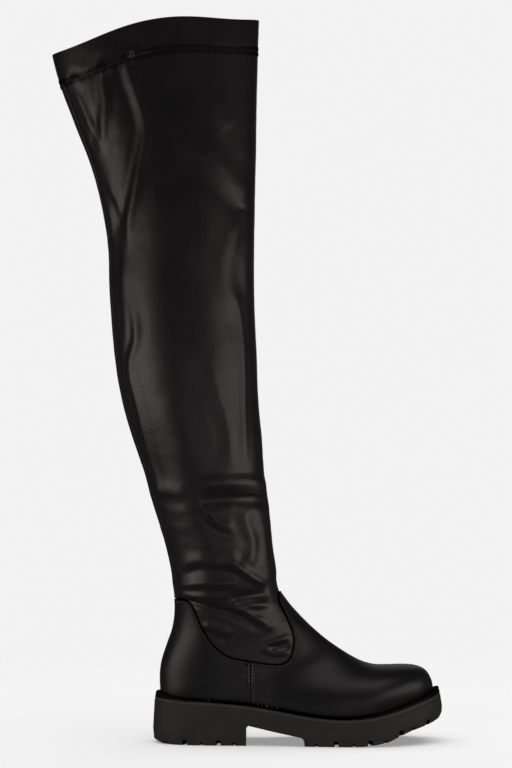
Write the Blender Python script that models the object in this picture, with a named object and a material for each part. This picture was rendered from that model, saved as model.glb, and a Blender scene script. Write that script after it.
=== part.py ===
# Thigh high stretch boot for the right foot, on a lugged sole with a block heel.
# Metres. +X points to the toe, +Y to the inner side of the leg and +Z up.
# The origin is on the floor, under the middle of the heel.

import math
from collections import namedtuple

import bmesh
import bpy
import numpy as np

# Last: the foot, measured outside the stretch upper.
FOOT_LENGTH = 0.2587
HEEL_REACH = 0.0361  # back of the foot behind the origin
BALL_WIDTH = 0.088
INSTEP_RISE = 0.1165  # top of the instep above the seat
HEEL_SEAT = 0.036  # seat of the sole above the floor, at the heel
BALL_SEAT = 0.0206  # the same at the ball
TOE_LIFT = 0.0224  # rise of the seat from the ball to the toe

# Leg: the shaft above the ankle.
LEG_RISE = 0.642  # middle of the collar above the heel seat
LEG_DEPTH = 0.139  # front to back at the knee
LEG_WIDTH = 0.102  # side to side at the knee
LEG_LEAN = 0.065  # middle of the collar behind the middle of the ankle
ANKLE_REACH = 0.0224  # middle of the ankle ahead of the origin
COLLAR_LIFT = 0.013  # sides of the collar above its front and back

# Walls and clearances.
LEG_WALL = 0.0013
HEM_WALL = 0.001
CUFF_WALL = 0.0009
OVERLAY_WALL = 0.0014
STAY_WALL = 0.0007
GAP = 0.0003
FIT_GAP = 0.0006  # between the welt and the upper, whose facets differ
FEATHER_BAND = 0.006  # the walls stand upright this far above the seat

# Panels of the upper.
SEAM_REACH = 0.0487  # side seam between counter and vamp ahead of the origin
STAY_WIDTH = 0.009
STAY_DRIFT = 0.015  # the stay leaves the back line by this much at the cuff

# Sole.
WELT_WIDTH = 0.0026
WELT_DROP = 0.0008  # top of the welt under the rim
RIM_WIDTH = 0.0024
RIM_RISE = 0.005  # rim above the seat at the waist
SOLE_FLARE = 0.0032  # widest line of the side outside the rim
HEEL_FULLNESS = 0.83  # widths of welt, rim and flare at the heel, as a share of those ahead
HEEL_BEVEL = 0.0045  # rear corner of the tread, worn and moulded round
INSOLE_THICKNESS = 0.003
INSOLE_EASE = 0.0018
BREAST_REACH = 0.0445  # front face of the heel ahead of the origin
TREAD_REACH = 0.099  # rear edge of the forefoot tread ahead of the origin
ARCH_RISE = 0.019  # underside of the arch at the heel breast
ARCH_FOOT = 0.0083  # underside of the arch at the forefoot tread
TOE_SPRING = 0.0255  # tread above the floor at the tip
SPRING_START = 0.148  # where the tread leaves the floor
LUG_DEPTH = 0.0052
SIPE_DEPTH = 0.0028
LUG_SLOT = 0.0042
SIPE_SLOT = 0.0022
SLOT_LENGTH = 0.020
SIPE_LENGTH = 0.009
CHANNEL_INSET = 0.019  # channel round the middle lugs, inside the edge of the tread
CHANNEL_WIDTH = 0.0036
CUTTER_EXTRA = 0.006  # cutters stand out of the sole by this much

# Mesh.
HALF_COLUMNS = 12
CUFF_RINGS = 2
LEG_RINGS = 15
HEEL_RINGS = 4
FOOT_RINGS = 17
OUTLINE_FINE = 150
OUTLINE_HALF = 28

# Shaft rows, collar first. rise: share of LEG_RISE; lean: of LEG_LEAN; depth: of LEG_DEPTH;
# width: of LEG_WIDTH; tilt: front above back, of the row's depth; lift: of COLLAR_LIFT.
LegRow = namedtuple("LegRow", "rise lean depth width tilt lift")
LEG_ROWS = [
    LegRow(0.996, 1.000, 1.432, 0.98, 0.168, 1.00),
    LegRow(0.951, 0.950, 1.369, 0.98, 0.170, 0.90),
    LegRow(0.888, 0.846, 1.258, 0.98, 0.160, 0.60),
    LegRow(0.818, 0.733, 1.142, 0.98, 0.107, 0.35),
    LegRow(0.763, 0.673, 1.069, 0.99, 0.053, 0.15),
    LegRow(0.718, 0.634, 1.026, 1.00, 0.014, 0.00),
    LegRow(0.676, 0.611, 1.001, 1.00, 0.000, 0.00),
    LegRow(0.622, 0.605, 0.994, 0.99, 0.000, 0.00),
    LegRow(0.572, 0.582, 0.986, 0.98, 0.000, 0.00),
    LegRow(0.523, 0.547, 0.978, 0.98, 0.000, 0.00),
    LegRow(0.477, 0.509, 0.955, 0.97, 0.000, 0.00),
    LegRow(0.435, 0.450, 0.922, 0.95, 0.000, 0.00),
    LegRow(0.394, 0.370, 0.883, 0.92, 0.000, 0.00),
    LegRow(0.349, 0.281, 0.824, 0.88, 0.000, 0.00),
    LegRow(0.312, 0.206, 0.799, 0.85, 0.000, 0.00),
    LegRow(0.274, 0.123, 0.768, 0.82, 0.000, 0.00),
    LegRow(0.237, 0.051, 0.735, 0.80, 0.000, 0.00),
    LegRow(0.203, -0.010, 0.718, 0.79, 0.000, 0.00),
]

# Foot rows, ankle first. front and back: x as a share of FOOT_LENGTH from the heel, then the
# rise above the seat as a share of INSTEP_RISE; half and sway: shares of BALL_WIDTH;
# low: height of the widest line in the row; crown and base: roundness above and below it.
FootRow = namedtuple(
    "FootRow", "front_x front_rise back_x back_rise half sway low crown base"
)
FOOT_ROWS = [
    FootRow(0.427, 1.031, 0.049, 0.887, 0.430, 0.000, 0.50, 2.05, 2.10),
    FootRow(0.458, 0.926, 0.051, 0.741, 0.412, 0.000, 0.50, 2.00, 2.10),
    FootRow(0.496, 0.841, 0.042, 0.603, 0.393, 0.000, 0.49, 1.95, 2.15),
    FootRow(0.535, 0.766, 0.022, 0.470, 0.376, -0.002, 0.47, 1.95, 2.20),
    FootRow(0.570, 0.705, 0.001, 0.312, 0.362, -0.004, 0.45, 1.95, 2.30),
    FootRow(0.605, 0.649, -0.003, 0.157, 0.354, -0.006, 0.43, 1.95, 2.50),
    FootRow(0.638, 0.603, 0.007, 0.030, 0.350, -0.008, 0.42, 1.95, 2.80),
    FootRow(0.669, 0.560, 0.046, -0.061, 0.350, -0.014, 0.42, 2.00, 2.80),
    FootRow(0.704, 0.513, 0.198, -0.080, 0.358, -0.026, 0.42, 2.05, 2.65),
    FootRow(0.743, 0.465, 0.372, -0.082, 0.396, -0.036, 0.43, 2.10, 2.80),
    FootRow(0.789, 0.424, 0.546, -0.085, 0.462, -0.030, 0.45, 2.15, 2.95),
    FootRow(0.843, 0.392, 0.700, -0.085, 0.500, -0.005, 0.45, 2.20, 3.00),
    FootRow(0.897, 0.356, 0.805, -0.086, 0.472, 0.022, 0.45, 2.25, 3.00),
    FootRow(0.940, 0.313, 0.882, -0.086, 0.407, 0.044, 0.45, 2.25, 3.00),
    FootRow(0.973, 0.255, 0.936, -0.062, 0.319, 0.060, 0.45, 2.25, 2.80),
    FootRow(0.991, 0.185, 0.969, -0.023, 0.214, 0.071, 0.46, 2.20, 2.50),
    FootRow(0.998, 0.134, 0.993, 0.044, 0.104, 0.077, 0.48, 2.10, 2.20),
    FootRow(1.000, 0.086, 1.000, 0.086, 0.000, 0.077, 0.50, 2.00, 2.00),
]

# Seat of the sole along the foot. x: share of FOOT_LENGTH from the heel;
# heel: share of the drop from heel to ball; toe: share of TOE_LIFT.
SeatRow = namedtuple("SeatRow", "x heel toe")
SEAT_ROWS = [
    SeatRow(-0.060, 1.23, 0.00),
    SeatRow(0.020, 1.15, 0.00),
    SeatRow(0.082, 1.05, 0.00),
    SeatRow(0.167, 1.00, 0.00),
    SeatRow(0.325, 0.77, 0.00),
    SeatRow(0.449, 0.43, 0.00),
    SeatRow(0.545, 0.17, 0.00),
    SeatRow(0.642, 0.00, 0.00),
    SeatRow(0.719, 0.00, 0.01),
    SeatRow(0.804, 0.00, 0.15),
    SeatRow(0.893, 0.00, 0.44),
    SeatRow(0.967, 0.00, 0.73),
    SeatRow(1.050, 0.00, 1.03),
]

# Rim above the seat, as shares of RIM_RISE, against x as a share of FOOT_LENGTH.
RIM_ROWS = [
    (-0.060, 1.95),
    (0.000, 1.90),
    (0.043, 1.54),
    (0.167, 0.98),
    (0.325, 1.04),
    (0.449, 0.94),
    (0.522, 0.88),
    (0.642, 0.94),
    (0.746, 1.30),
    (0.862, 1.52),
    (0.975, 1.64),
    (1.005, 1.88),
    (1.030, 2.20),
    (1.060, 2.30),
]

# Tread above the floor, as shares of TOE_SPRING, against the way from SPRING_START to the tip.
SPRING_ROWS = [
    (0.000, 0.000),
    (0.120, 0.020),
    (0.230, 0.065),
    (0.320, 0.120),
    (0.420, 0.215),
    (0.500, 0.370),
    (0.590, 0.505),
    (0.680, 0.605),
    (0.780, 0.700),
    (0.880, 0.810),
    (0.960, 0.920),
    (1.050, 1.070),
]

# Edge of vamp and counter round the stretch panel, from the heel round to the instep:
# x as a share of FOOT_LENGTH from the heel, height above the heel seat as a share of INSTEP_RISE.
PANEL_LINE = [
    (0.030, 0.868),
    (0.082, 0.869),
    (0.105, 0.839),
    (0.120, 0.791),
    (0.139, 0.686),
    (0.162, 0.588),
    (0.188, 0.505),
    (0.222, 0.438),
    (0.259, 0.396),
    (0.312, 0.372),
    (0.371, 0.351),
    (0.432, 0.338),
    (0.454, 0.351),
    (0.473, 0.388),
    (0.484, 0.455),
    (0.489, 0.538),
    (0.480, 0.629),
    (0.462, 0.721),
    (0.443, 0.804),
    (0.432, 0.858),
    (0.432, 0.910),
    (0.438, 0.967),
]

# Slots in the tread, as shares of the heel block from its rear, and of the forefoot tread from
# its rear.
TreadSlots = namedtuple("TreadSlots", "heel forefoot")
LUG_SLOTS = TreadSlots([0.344, 0.705], [0.228, 0.470, 0.693, 0.880])
EDGE_SIPES = TreadSlots([0.132, 0.523, 0.871], [0.090, 0.354, 0.577, 0.785])
MIDDLE_SLOTS = TreadSlots([0.408, 0.753], [0.149, 0.324, 0.498, 0.672])


def catmull_rom(rows, t):
    """Values of the rows at position t, where whole numbers are the rows themselves."""
    rows = np.asarray(rows, float)
    last = len(rows) - 1
    i = int(min(max(math.floor(t), 0), last - 1))
    f = t - i
    a, b, c, d = (rows[min(max(k, 0), last)] for k in (i - 1, i, i + 1, i + 2))
    return 0.5 * (
        2 * b
        + (c - a) * f
        + (2 * a - 5 * b + 4 * c - d) * f**2
        + (3 * b - a - 3 * c + d) * f**3
    )


def smooth_line(points, steps):
    """A smooth line through the points, with that many steps from one to the next."""
    count = (len(points) - 1) * steps
    return np.array([catmull_rom(points, k / steps) for k in range(count + 1)])


def height_curve(points):
    """A function of x that runs smoothly through the (x, z) points."""
    line = smooth_line(points, 8)
    return lambda x: np.interp(x, line[:, 0], line[:, 1])


def foot_x(share):
    return share * FOOT_LENGTH - HEEL_REACH


seat = height_curve(
    [
        (
            foot_x(r.x),
            BALL_SEAT + r.heel * (HEEL_SEAT - BALL_SEAT) + r.toe * TOE_LIFT,
        )
        for r in SEAT_ROWS
    ]
)
rim_rise = height_curve([(foot_x(x), rise * RIM_RISE) for x, rise in RIM_ROWS])
SOLE_TIP = foot_x(1) + OVERLAY_WALL + 2 * GAP + FIT_GAP + WELT_WIDTH + RIM_WIDTH + SOLE_FLARE
spring = height_curve(
    [
        (SPRING_START + x * (SOLE_TIP - SPRING_START), z * TOE_SPRING)
        for x, z in SPRING_ROWS
    ]
)


def tread(x):
    """Height of the tread above the floor."""
    return np.where(x < SPRING_START, 0.0, np.maximum(spring(x), 0.0))


def feather(x):
    """Height of the lower edge of the upper, just clear of the seat."""
    return seat(x) + GAP


def rim_top(x):
    return seat(x) + rim_rise(x)


# Form of the boot: rows that fan from the collar round the ankle to the toe.


def leg_section(row):
    """Front x and z, back x and z, half width, sway, low, crown, base and lift of a leg row."""
    depth = row.depth * LEG_DEPTH
    middle_x = ANKLE_REACH - row.lean * LEG_LEAN
    middle_z = HEEL_SEAT + row.rise * LEG_RISE
    tilt = row.tilt * depth / 2
    return (
        middle_x + depth / 2,
        middle_z + tilt,
        middle_x - depth / 2,
        middle_z - tilt,
        row.width * LEG_WIDTH / 2,
        0,
        0.5,
        2.1,
        2.1,
        row.lift * COLLAR_LIFT,
    )


def foot_section(row):
    """The same for a foot row."""
    front_x, back_x = foot_x(row.front_x), foot_x(row.back_x)
    return (
        front_x,
        seat(front_x) + row.front_rise * INSTEP_RISE,
        back_x,
        seat(back_x) + row.back_rise * INSTEP_RISE,
        row.half * BALL_WIDTH,
        row.sway * BALL_WIDTH,
        row.low,
        row.crown,
        row.base,
        0,
    )


SECTIONS = [leg_section(r) for r in LEG_ROWS] + [foot_section(r) for r in FOOT_ROWS]
CUFF_ROW = 1
ANKLE_ROW = len(LEG_ROWS) - 1
TIP_ROW = len(SECTIONS) - 1


def form_points(t, angles):
    """Points of the form in the section at t. Angle 0 is the front, +90 degrees the outer side."""
    front_x, front_z, back_x, back_z, half, sway, low, crown, base, lift = catmull_rom(
        SECTIONS, t
    )
    cosine, sine = np.cos(angles), np.sin(angles)
    ahead = cosine >= 0
    power = np.where(ahead, 2 / crown, 2 / base)
    reach = np.abs(cosine) ** power
    along = np.where(ahead, low + (1 - low) * reach, low - low * reach)
    wide = np.abs(sine) ** power
    return np.stack(
        [
            back_x + along * (front_x - back_x),
            sway - half * wide * np.sign(sine),
            back_z + along * (front_z - back_z) + lift * wide**5,
        ],
        axis=-1,
    )


def form_ring(t, angles, offset):
    """Points of the form moved out along its normals by offset."""
    step = 0.02
    t_near = min(max(t, step), TIP_ROW - step)
    points = form_points(t, angles)
    turn = form_points(t_near, angles + step) - form_points(t_near, angles - step)
    run = form_points(t_near + step / 2, angles) - form_points(t_near - step / 2, angles)
    normals = np.cross(turn, run)
    normals /= np.linalg.norm(normals, axis=1)[:, None]
    clear = (points[:, 2] - feather(points[:, 0])) / FEATHER_BAND
    normals[:, 2] *= np.clip(clear, 0, 1)
    normals /= np.linalg.norm(normals, axis=1)[:, None]
    if t > TIP_ROW - step:
        normals[:] = (1, 0, 0)
    return points + offset * normals


def open_angle(t):
    """How far round from the front a section runs before it meets the feather edge."""
    angles = np.radians(np.linspace(0, 180, 361))
    points = form_points(t, angles)
    above = points[:, 2] - feather(points[:, 0])
    below = np.flatnonzero(above < 0)
    if len(below) == 0:
        return math.pi
    k = below[0]
    share = above[k - 1] / (above[k - 1] - above[k])
    return angles[k - 1] + share * (angles[k] - angles[k - 1])


def apex_rows():
    """The two positions where the back line of the form crosses the feather edge."""
    ts = np.linspace(ANKLE_ROW, TIP_ROW, 721)
    ends = np.array([form_points(t, np.array([math.pi]))[0] for t in ts])
    above = ends[:, 2] - feather(ends[:, 0])
    crossings = np.flatnonzero(above[:-1] * above[1:] < 0)
    shares = above[crossings] / (above[crossings] - above[crossings + 1])
    return ts[crossings] + shares * (ts[1] - ts[0])


def form_grid(ts, offsets):
    """Rows of points on the form, each from the outer end round the front to the inner end."""
    rows = []
    for t, offset in zip(ts, offsets):
        widest = open_angle(t)
        angles = widest * np.linspace(1, -1, 2 * HALF_COLUMNS + 1)
        row = form_ring(t, angles, offset)
        row[:, 2] = np.maximum(row[:, 2], feather(row[:, 0]))
        if widest < math.pi:
            for end in (0, -1):
                row[end, 2] = feather(row[end, 0])
        else:
            row[-1] = row[0]
        rows.append(row)
    return np.array(rows)


# Meshes.


def new_object(name, bm, colour, roughness, metallic=0.0):
    bmesh.ops.recalc_face_normals(bm, faces=bm.faces)
    bmesh.ops.triangulate(bm, faces=bm.faces)
    mesh = bpy.data.meshes.new(name)
    bm.to_mesh(mesh)
    bm.free()
    mesh.shade_smooth()
    mesh.set_sharp_from_angle(angle=math.radians(40))
    material = bpy.data.materials.new(name)
    material.use_nodes = True
    shader = material.node_tree.nodes["Principled BSDF"]
    shader.inputs["Base Color"].default_value = (*colour, 1)
    shader.inputs["Roughness"].default_value = roughness
    shader.inputs["Metallic"].default_value = metallic
    mesh.materials.append(material)
    obj = bpy.data.objects.new(name, mesh)
    bpy.context.scene.collection.objects.link(obj)
    return obj


def add_faces(bm, grid, flip=False, guide=None):
    """Triangles between the rows of a grid of vertices. Each quad is split along the diagonal
    that is shorter in the guide, so that walls with one guide are split alike."""
    if guide is None:
        guide = [[v.co for v in row] for row in grid]
    guide = np.array([[tuple(p) for p in row] for row in guide])
    falling = np.linalg.norm(guide[:-1, :-1] - guide[1:, 1:], axis=2)
    rising = np.linalg.norm(guide[:-1, 1:] - guide[1:, :-1], axis=2)
    for i, (upper_row, lower_row) in enumerate(zip(grid, grid[1:])):
        for k in range(len(upper_row) - 1):
            a, b, c, d = upper_row[k], upper_row[k + 1], lower_row[k + 1], lower_row[k]
            is_falling = falling[i, k] < rising[i, k]
            pairs = ((a, b, c), (a, c, d)) if is_falling else ((a, b, d), (b, c, d))
            for corners in pairs:
                if len({tuple(v.co) for v in corners}) == 3:
                    bm.faces.new(corners[::-1] if flip else corners)


def form_shell(ts, outer_offsets, inner_offsets):
    """A wall between two offsets of the form, open where the form meets the feather edge."""
    bm = bmesh.new()
    outer, inner = (
        [[bm.verts.new(p) for p in row] for row in form_grid(ts, offsets)]
        for offsets in (outer_offsets, inner_offsets)
    )
    guide = form_grid(ts, [0.0] * len(ts))
    add_faces(bm, outer, guide=guide)
    add_faces(bm, inner, flip=True, guide=guide)
    is_open = [open_angle(t) < math.pi for t in ts]
    for i in range(len(ts) - 1):
        if is_open[i] or is_open[i + 1]:
            for end in (0, -1):
                bm.faces.new(
                    [outer[i][end], outer[i + 1][end], inner[i + 1][end], inner[i][end]]
                )
    ends = [0] if ts[-1] == TIP_ROW else [0, -1]
    for row in ends:
        add_faces(bm, [outer[row], inner[row]])
    bmesh.ops.remove_doubles(bm, verts=bm.verts, dist=1e-6)
    return bm


def ring_loft(loops):
    """A ring solid whose cross section has one corner in each loop."""
    bm = bmesh.new()
    rings = [[bm.verts.new(p) for p in loop] for loop in loops]
    count = len(rings[0])
    for ring, following in zip(rings, rings[1:] + rings[:1]):
        for k in range(count):
            n = (k + 1) % count
            bm.faces.new([ring[k], ring[n], following[n], following[k]])
    return bm


def capped_loft(loops):
    """A solid skinned over loops of paired points, with a ladder of faces on each end."""
    bm = bmesh.new()
    rings = [[bm.verts.new(p) for p in loop] for loop in loops]
    count = len(rings[0])
    for ring, following in zip(rings, rings[1:]):
        for k in range(count):
            n = (k + 1) % count
            bm.faces.new([ring[k], ring[n], following[n], following[k]])
    for ring in (rings[0], rings[-1]):
        for k in range(count // 2):
            corners = [ring[k], ring[k + 1], ring[(count - k - 1) % count], ring[-k]]
            bm.faces.new(list(dict.fromkeys(corners)))
    return bm


def prism(polygon, low_y, high_y):
    """A polygon of (x, z) points drawn out along Y."""
    bm = bmesh.new()
    face = bm.faces.new([bm.verts.new((x, low_y, z)) for x, z in polygon])
    side = bmesh.ops.extrude_face_region(bm, geom=[face])
    moved = [v for v in side["geom"] if isinstance(v, bmesh.types.BMVert)]
    bmesh.ops.translate(bm, verts=moved, vec=(0, high_y - low_y, 0))
    return bm


def boolean(obj, bm, operation):
    """Cuts obj with the cutter in bm, or keeps what they share."""
    cutter = new_object(f"{obj.name}_cutter", bm, (0.5, 0.5, 0.5), 0.5)
    cutter.hide_render = True
    cutter.display_type = "WIRE"
    modifier = obj.modifiers.new(operation.lower(), "BOOLEAN")
    modifier.operation = operation
    modifier.object = cutter
    return obj


# Plan outlines of the sole, the welt and the insole.


def form_outline(rise, offset):
    """Where the form, moved out by offset, meets a surface that lies rise(x) above the seat.
    The points run from the toe along the outer side to the heel and back on the inner side."""
    ts = np.linspace(ANKLE_ROW, TIP_ROW - 0.03, 260)
    angles = np.radians(np.linspace(0, 180, 181))
    sides = {1: [], -1: []}
    middle = []
    previous = None
    for t in ts:
        for side, points in sides.items():
            ring = form_ring(t, side * angles, offset)
            above = ring[:, 2] - seat(ring[:, 0]) - rise(ring[:, 0])
            below = np.flatnonzero(above < 0)
            if len(below) and below[0]:
                k = below[0]
                share = above[k - 1] / (above[k - 1] - above[k])
                points.append((ring[k - 1] + share * (ring[k] - ring[k - 1]))[:2])
        end, height = ring[-1], above[-1]
        if previous is not None and height * previous[1] < 0:
            share = previous[1] / (previous[1] - height)
            middle.append((previous[0] + share * (end - previous[0]))[:2])
        previous = (end, height)
    if len(middle) == 1:
        middle.append(form_ring(TIP_ROW, np.zeros(1), offset)[0, :2])
    heel, toe = middle
    outer = even_line([toe, *sides[1][::-1], heel], OUTLINE_FINE)
    inner = even_line([heel, *sides[-1], toe], OUTLINE_FINE)
    return relaxed(np.concatenate([outer[:-1], inner[:-1]]), 4)


def even_line(points, count):
    """The line through the points, divided into that many equal steps."""
    points = np.array(points)
    along = run_along(points)
    wanted = np.linspace(0, along[-1], count + 1)
    return np.stack([np.interp(wanted, along, points[:, k]) for k in (0, 1)], axis=1)


def run_along(points):
    lengths = np.linalg.norm(np.diff(points, axis=0), axis=1)
    return np.concatenate([[0], np.cumsum(lengths)])


def relaxed(outline, rounds):
    """The outline with small kinks smoothed out."""
    for _ in range(rounds):
        around = (np.roll(outline, 1, axis=0) + np.roll(outline, -1, axis=0)) / 2
        outline = (outline + around) / 2
    return outline


def outline_normals(outline):
    along = np.roll(outline, -1, axis=0) - np.roll(outline, 1, axis=0)
    normals = np.stack([-along[:, 1], along[:, 0]], axis=1)
    normals /= np.linalg.norm(normals, axis=1)[:, None]
    return normals if normals[0, 0] > 0 else -normals


def grown(outline, distance):
    return outline + distance * outline_normals(outline)


def thinned(outline):
    """The points that a solid uses. Those of both sides pair up, so that each pair shares one x,
    and they lie closer together round the toe and the heel."""
    ways = np.linspace(0, math.pi, OUTLINE_HALF + 1)
    toe, heel = outline[0], outline[OUTLINE_FINE]
    stations = heel[0] + (toe[0] - heel[0]) * (1 + np.cos(ways)) / 2
    sides = outline[OUTLINE_FINE::-1], np.vstack([outline[OUTLINE_FINE:], outline[:1]])
    outer, inner = (
        np.interp(stations, np.maximum.accumulate(side[:, 0]), side[:, 1]) for side in sides
    )
    outer, inner = (np.column_stack([stations, y]) for y in (outer, inner))
    outer[[0, -1]] = inner[[0, -1]] = toe, heel
    return np.concatenate([outer, inner[-2:0:-1]])


def loop(outline, distance, height, bevel=0.0):
    """A loop at height(x) of the outline grown by distance, and drawn in by bevel at the rear."""
    x = outline[:, 0]
    fullness = np.interp(x, [0.0, BREAST_REACH * 2], [HEEL_FULLNESS, 1])
    rear = np.interp(x, [-HEEL_REACH, -0.55 * HEEL_REACH], [1, 0])
    distances = distance * fullness - bevel * rear
    return at_height(thinned(grown(outline, distances[:, None])), height)


def at_height(outline, height):
    """The outline lifted to height(x)."""
    return np.column_stack([outline, height(outline[:, 0])])


ENCASED = GAP + OVERLAY_WALL  # outside of vamp and counter, from the form
rim_foot = form_outline(rim_rise, ENCASED)
SIDE_WIDTH = FIT_GAP + WELT_WIDTH + GAP + RIM_WIDTH + SOLE_FLARE
sole_edge = loop(rim_foot, SIDE_WIDTH, lambda x: 0 * x)[:, :2]


# Pieces.


def make_outsole():
    # From the tread up the side: how far in from the widest line, and how high. up is a share
    # of the side's height, down a distance under the rim.
    band, ledge, soft_edge = 0.0042, 0.0005, 0.0009
    levels = [
        (-0.0022, lambda x: tread(x), HEEL_BEVEL),
        (-0.0003, lambda x: tread(x) + 0.0034, 0.15 * HEEL_BEVEL),
        (0.0, lambda x: tread(x) + 0.28 * (rim_top(x) - tread(x)), 0),
        (-0.55 * SOLE_FLARE, lambda x: rim_top(x) - 2 * band - ledge / 2, 0),
        (-0.55 * SOLE_FLARE - ledge, lambda x: rim_top(x) - 2 * band + ledge / 2, 0),
        (-0.75 * SOLE_FLARE, lambda x: rim_top(x) - band - ledge / 2, 0),
        (-0.75 * SOLE_FLARE - ledge, lambda x: rim_top(x) - band + ledge / 2, 0),
        (-SOLE_FLARE, lambda x: rim_top(x) - soft_edge, 0),
        (-SOLE_FLARE - soft_edge, rim_top, 0),
        (-SOLE_FLARE - RIM_WIDTH, rim_top, 0),
        (-SOLE_FLARE - RIM_WIDTH, seat, 0),
    ]
    loops = [
        loop(rim_foot, SIDE_WIDTH + inset, height, bevel) for inset, height, bevel in levels
    ]
    outsole = new_object("outsole", capped_loft(loops), (0.035, 0.035, 0.034), 0.75)
    boolean(outsole, arch_cutter(), "DIFFERENCE")
    boolean(outsole, channel_cutter(), "DIFFERENCE")
    boolean(outsole, slot_cutter(LUG_SLOTS, LUG_SLOT, SLOT_LENGTH, LUG_DEPTH), "DIFFERENCE")
    boolean(outsole, slot_cutter(EDGE_SIPES, SIPE_SLOT, SIPE_LENGTH, SIPE_DEPTH), "DIFFERENCE")
    boolean(outsole, middle_cutter(), "DIFFERENCE")


def arch_cutter():
    """The space under the waist, between the heel breast and the forefoot tread."""
    below = -CUTTER_EXTRA
    step = 0.5 * LUG_SLOT
    middle = (BREAST_REACH + TREAD_REACH) / 2
    rise = 0.47 * ARCH_RISE + 0.53 * ARCH_FOOT
    polygon = [
        (BREAST_REACH, below),
        (BREAST_REACH, ARCH_RISE - step),
        (BREAST_REACH + step, ARCH_RISE),
        (middle, rise),
        (TREAD_REACH - step, ARCH_FOOT),
        (TREAD_REACH, ARCH_FOOT - step),
        (TREAD_REACH + step, below),
    ]
    return prism(polygon, -BALL_WIDTH, BALL_WIDTH)


def block(bm, centre, along, length, width, low, high):
    """Adds an upright block of that length along a direction in plan, from low to high."""
    along = np.array(along) / np.linalg.norm(along)
    across = np.array([-along[1], along[0]])
    corners = [
        centre + a * along * length / 2 + b * across * width / 2
        for a, b in ((-1, -1), (1, -1), (1, 1), (-1, 1))
    ]
    rings = [[bm.verts.new((*c, z)) for c in corners] for z in (low, high)]
    bm.faces.new(rings[0][::-1])
    bm.faces.new(rings[1])
    for k in range(4):
        n = (k + 1) % 4
        bm.faces.new([rings[0][k], rings[0][n], rings[1][n], rings[1][k]])


def edge_point(x, side):
    """The point of the sole's edge at x on one side, and the direction straight in from it."""
    half = len(sole_edge) // 2
    chosen = slice(1, half) if side > 0 else slice(half + 1, len(sole_edge))
    points, normals = sole_edge[chosen], outline_normals(sole_edge)[chosen]
    k = np.argmin(np.abs(points[:, 0] - x))
    return points[k] + [x - points[k, 0], 0], -normals[k]


def slot_places(slots):
    """x of each slot."""
    rear, tip = sole_edge[:, 0].min(), sole_edge[:, 0].max()
    heel = [rear + share * (BREAST_REACH - rear) for share in slots.heel]
    return heel + [TREAD_REACH + share * (tip - TREAD_REACH) for share in slots.forefoot]


def slot_cutter(slots, width, length, depth):
    """Slots that run in from both edges of the tread."""
    bm = bmesh.new()
    for x in slot_places(slots):
        for side in (1, -1):
            point, inward = edge_point(x, side)
            centre = point + inward * (length - CUTTER_EXTRA) / 2
            floor = float(tread(x))
            low, high = floor - CUTTER_EXTRA, floor + depth
            block(bm, centre, inward, length + CUTTER_EXTRA, width, low, high)
    return bm


def channel_cutter():
    """Channels round the middle lugs of heel and forefoot, open towards the arch."""
    bm = bmesh.new()
    inset = grown(sole_edge, -CHANNEL_INSET)
    for heel in (True, False):
        chosen = inset[:, 0] < BREAST_REACH if heel else inset[:, 0] > TREAD_REACH
        start = np.flatnonzero(chosen & ~np.roll(chosen, 1))[0]
        line = np.roll(inset, -start, axis=0)[: chosen.sum()]
        out = BREAST_REACH + CUTTER_EXTRA if heel else TREAD_REACH - CUTTER_EXTRA
        line = np.concatenate([[(out, line[0, 1])], line, [(out, line[-1, 1])]])
        line = even_line(line, 18)
        along = np.gradient(line, axis=0)
        across = np.stack([-along[:, 1], along[:, 0]], axis=1)
        across *= CHANNEL_WIDTH / 2 / np.linalg.norm(across, axis=1)[:, None]
        rows = []
        for point, way in zip(line, across):
            top = float(tread(point[0])) + LUG_DEPTH * 0.9
            low = top - LUG_DEPTH - CUTTER_EXTRA
            corners = ((-1, low), (1, low), (1, top), (-1, top))
            rows.append([bm.verts.new((*(point + s * way), z)) for s, z in corners])
        bm.faces.new(rows[0])
        bm.faces.new(rows[-1][::-1])
        for row, following in zip(rows, rows[1:]):
            for k in range(4):
                n = (k + 1) % 4
                bm.faces.new([row[k], row[n], following[n], following[k]])
    return bm


def middle_cutter():
    """Slots across the middle lugs, from one channel to the other."""
    bm = bmesh.new()
    for x in slot_places(MIDDLE_SLOTS):
        outer, inner = (edge_point(x, side)[0] for side in (1, -1))
        centre = (outer + inner) / 2
        length = abs(inner[1] - outer[1]) - 2 * CHANNEL_INSET
        floor = float(tread(x))
        low, high = floor - CUTTER_EXTRA, floor + 0.8 * LUG_DEPTH
        block(bm, centre, (0, 1), length, LUG_SLOT, low, high)
    return bm


def make_welt():
    outside = FIT_GAP + WELT_WIDTH
    low_line, middle_line = (
        form_outline(lambda x, s=share: s * rim_rise(x), ENCASED) for share in (0.35, 0.7)
    )
    loops = [
        loop(middle_line, FIT_GAP, lambda x: seat(x) + 0.7 * rim_rise(x)),
        loop(low_line, FIT_GAP, lambda x: seat(x) + 0.35 * rim_rise(x)),
        loop(low_line, FIT_GAP, feather),
        loop(rim_foot, outside, feather),
        loop(rim_foot, outside, lambda x: rim_top(x) - WELT_DROP),
        loop(rim_foot, FIT_GAP, lambda x: rim_top(x) - WELT_DROP),
    ]
    new_object("welt", ring_loft(loops), (0.02, 0.02, 0.02), 0.5)


def make_insole():
    inside = form_outline(lambda x: GAP + 0 * x, -LEG_WALL)
    loops = [
        loop(inside, -INSOLE_EASE, feather),
        loop(inside, -INSOLE_EASE, lambda x: feather(x) + INSOLE_THICKNESS),
    ]
    new_object("insole", capped_loft(loops), (0.06, 0.055, 0.05), 0.8)


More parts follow.
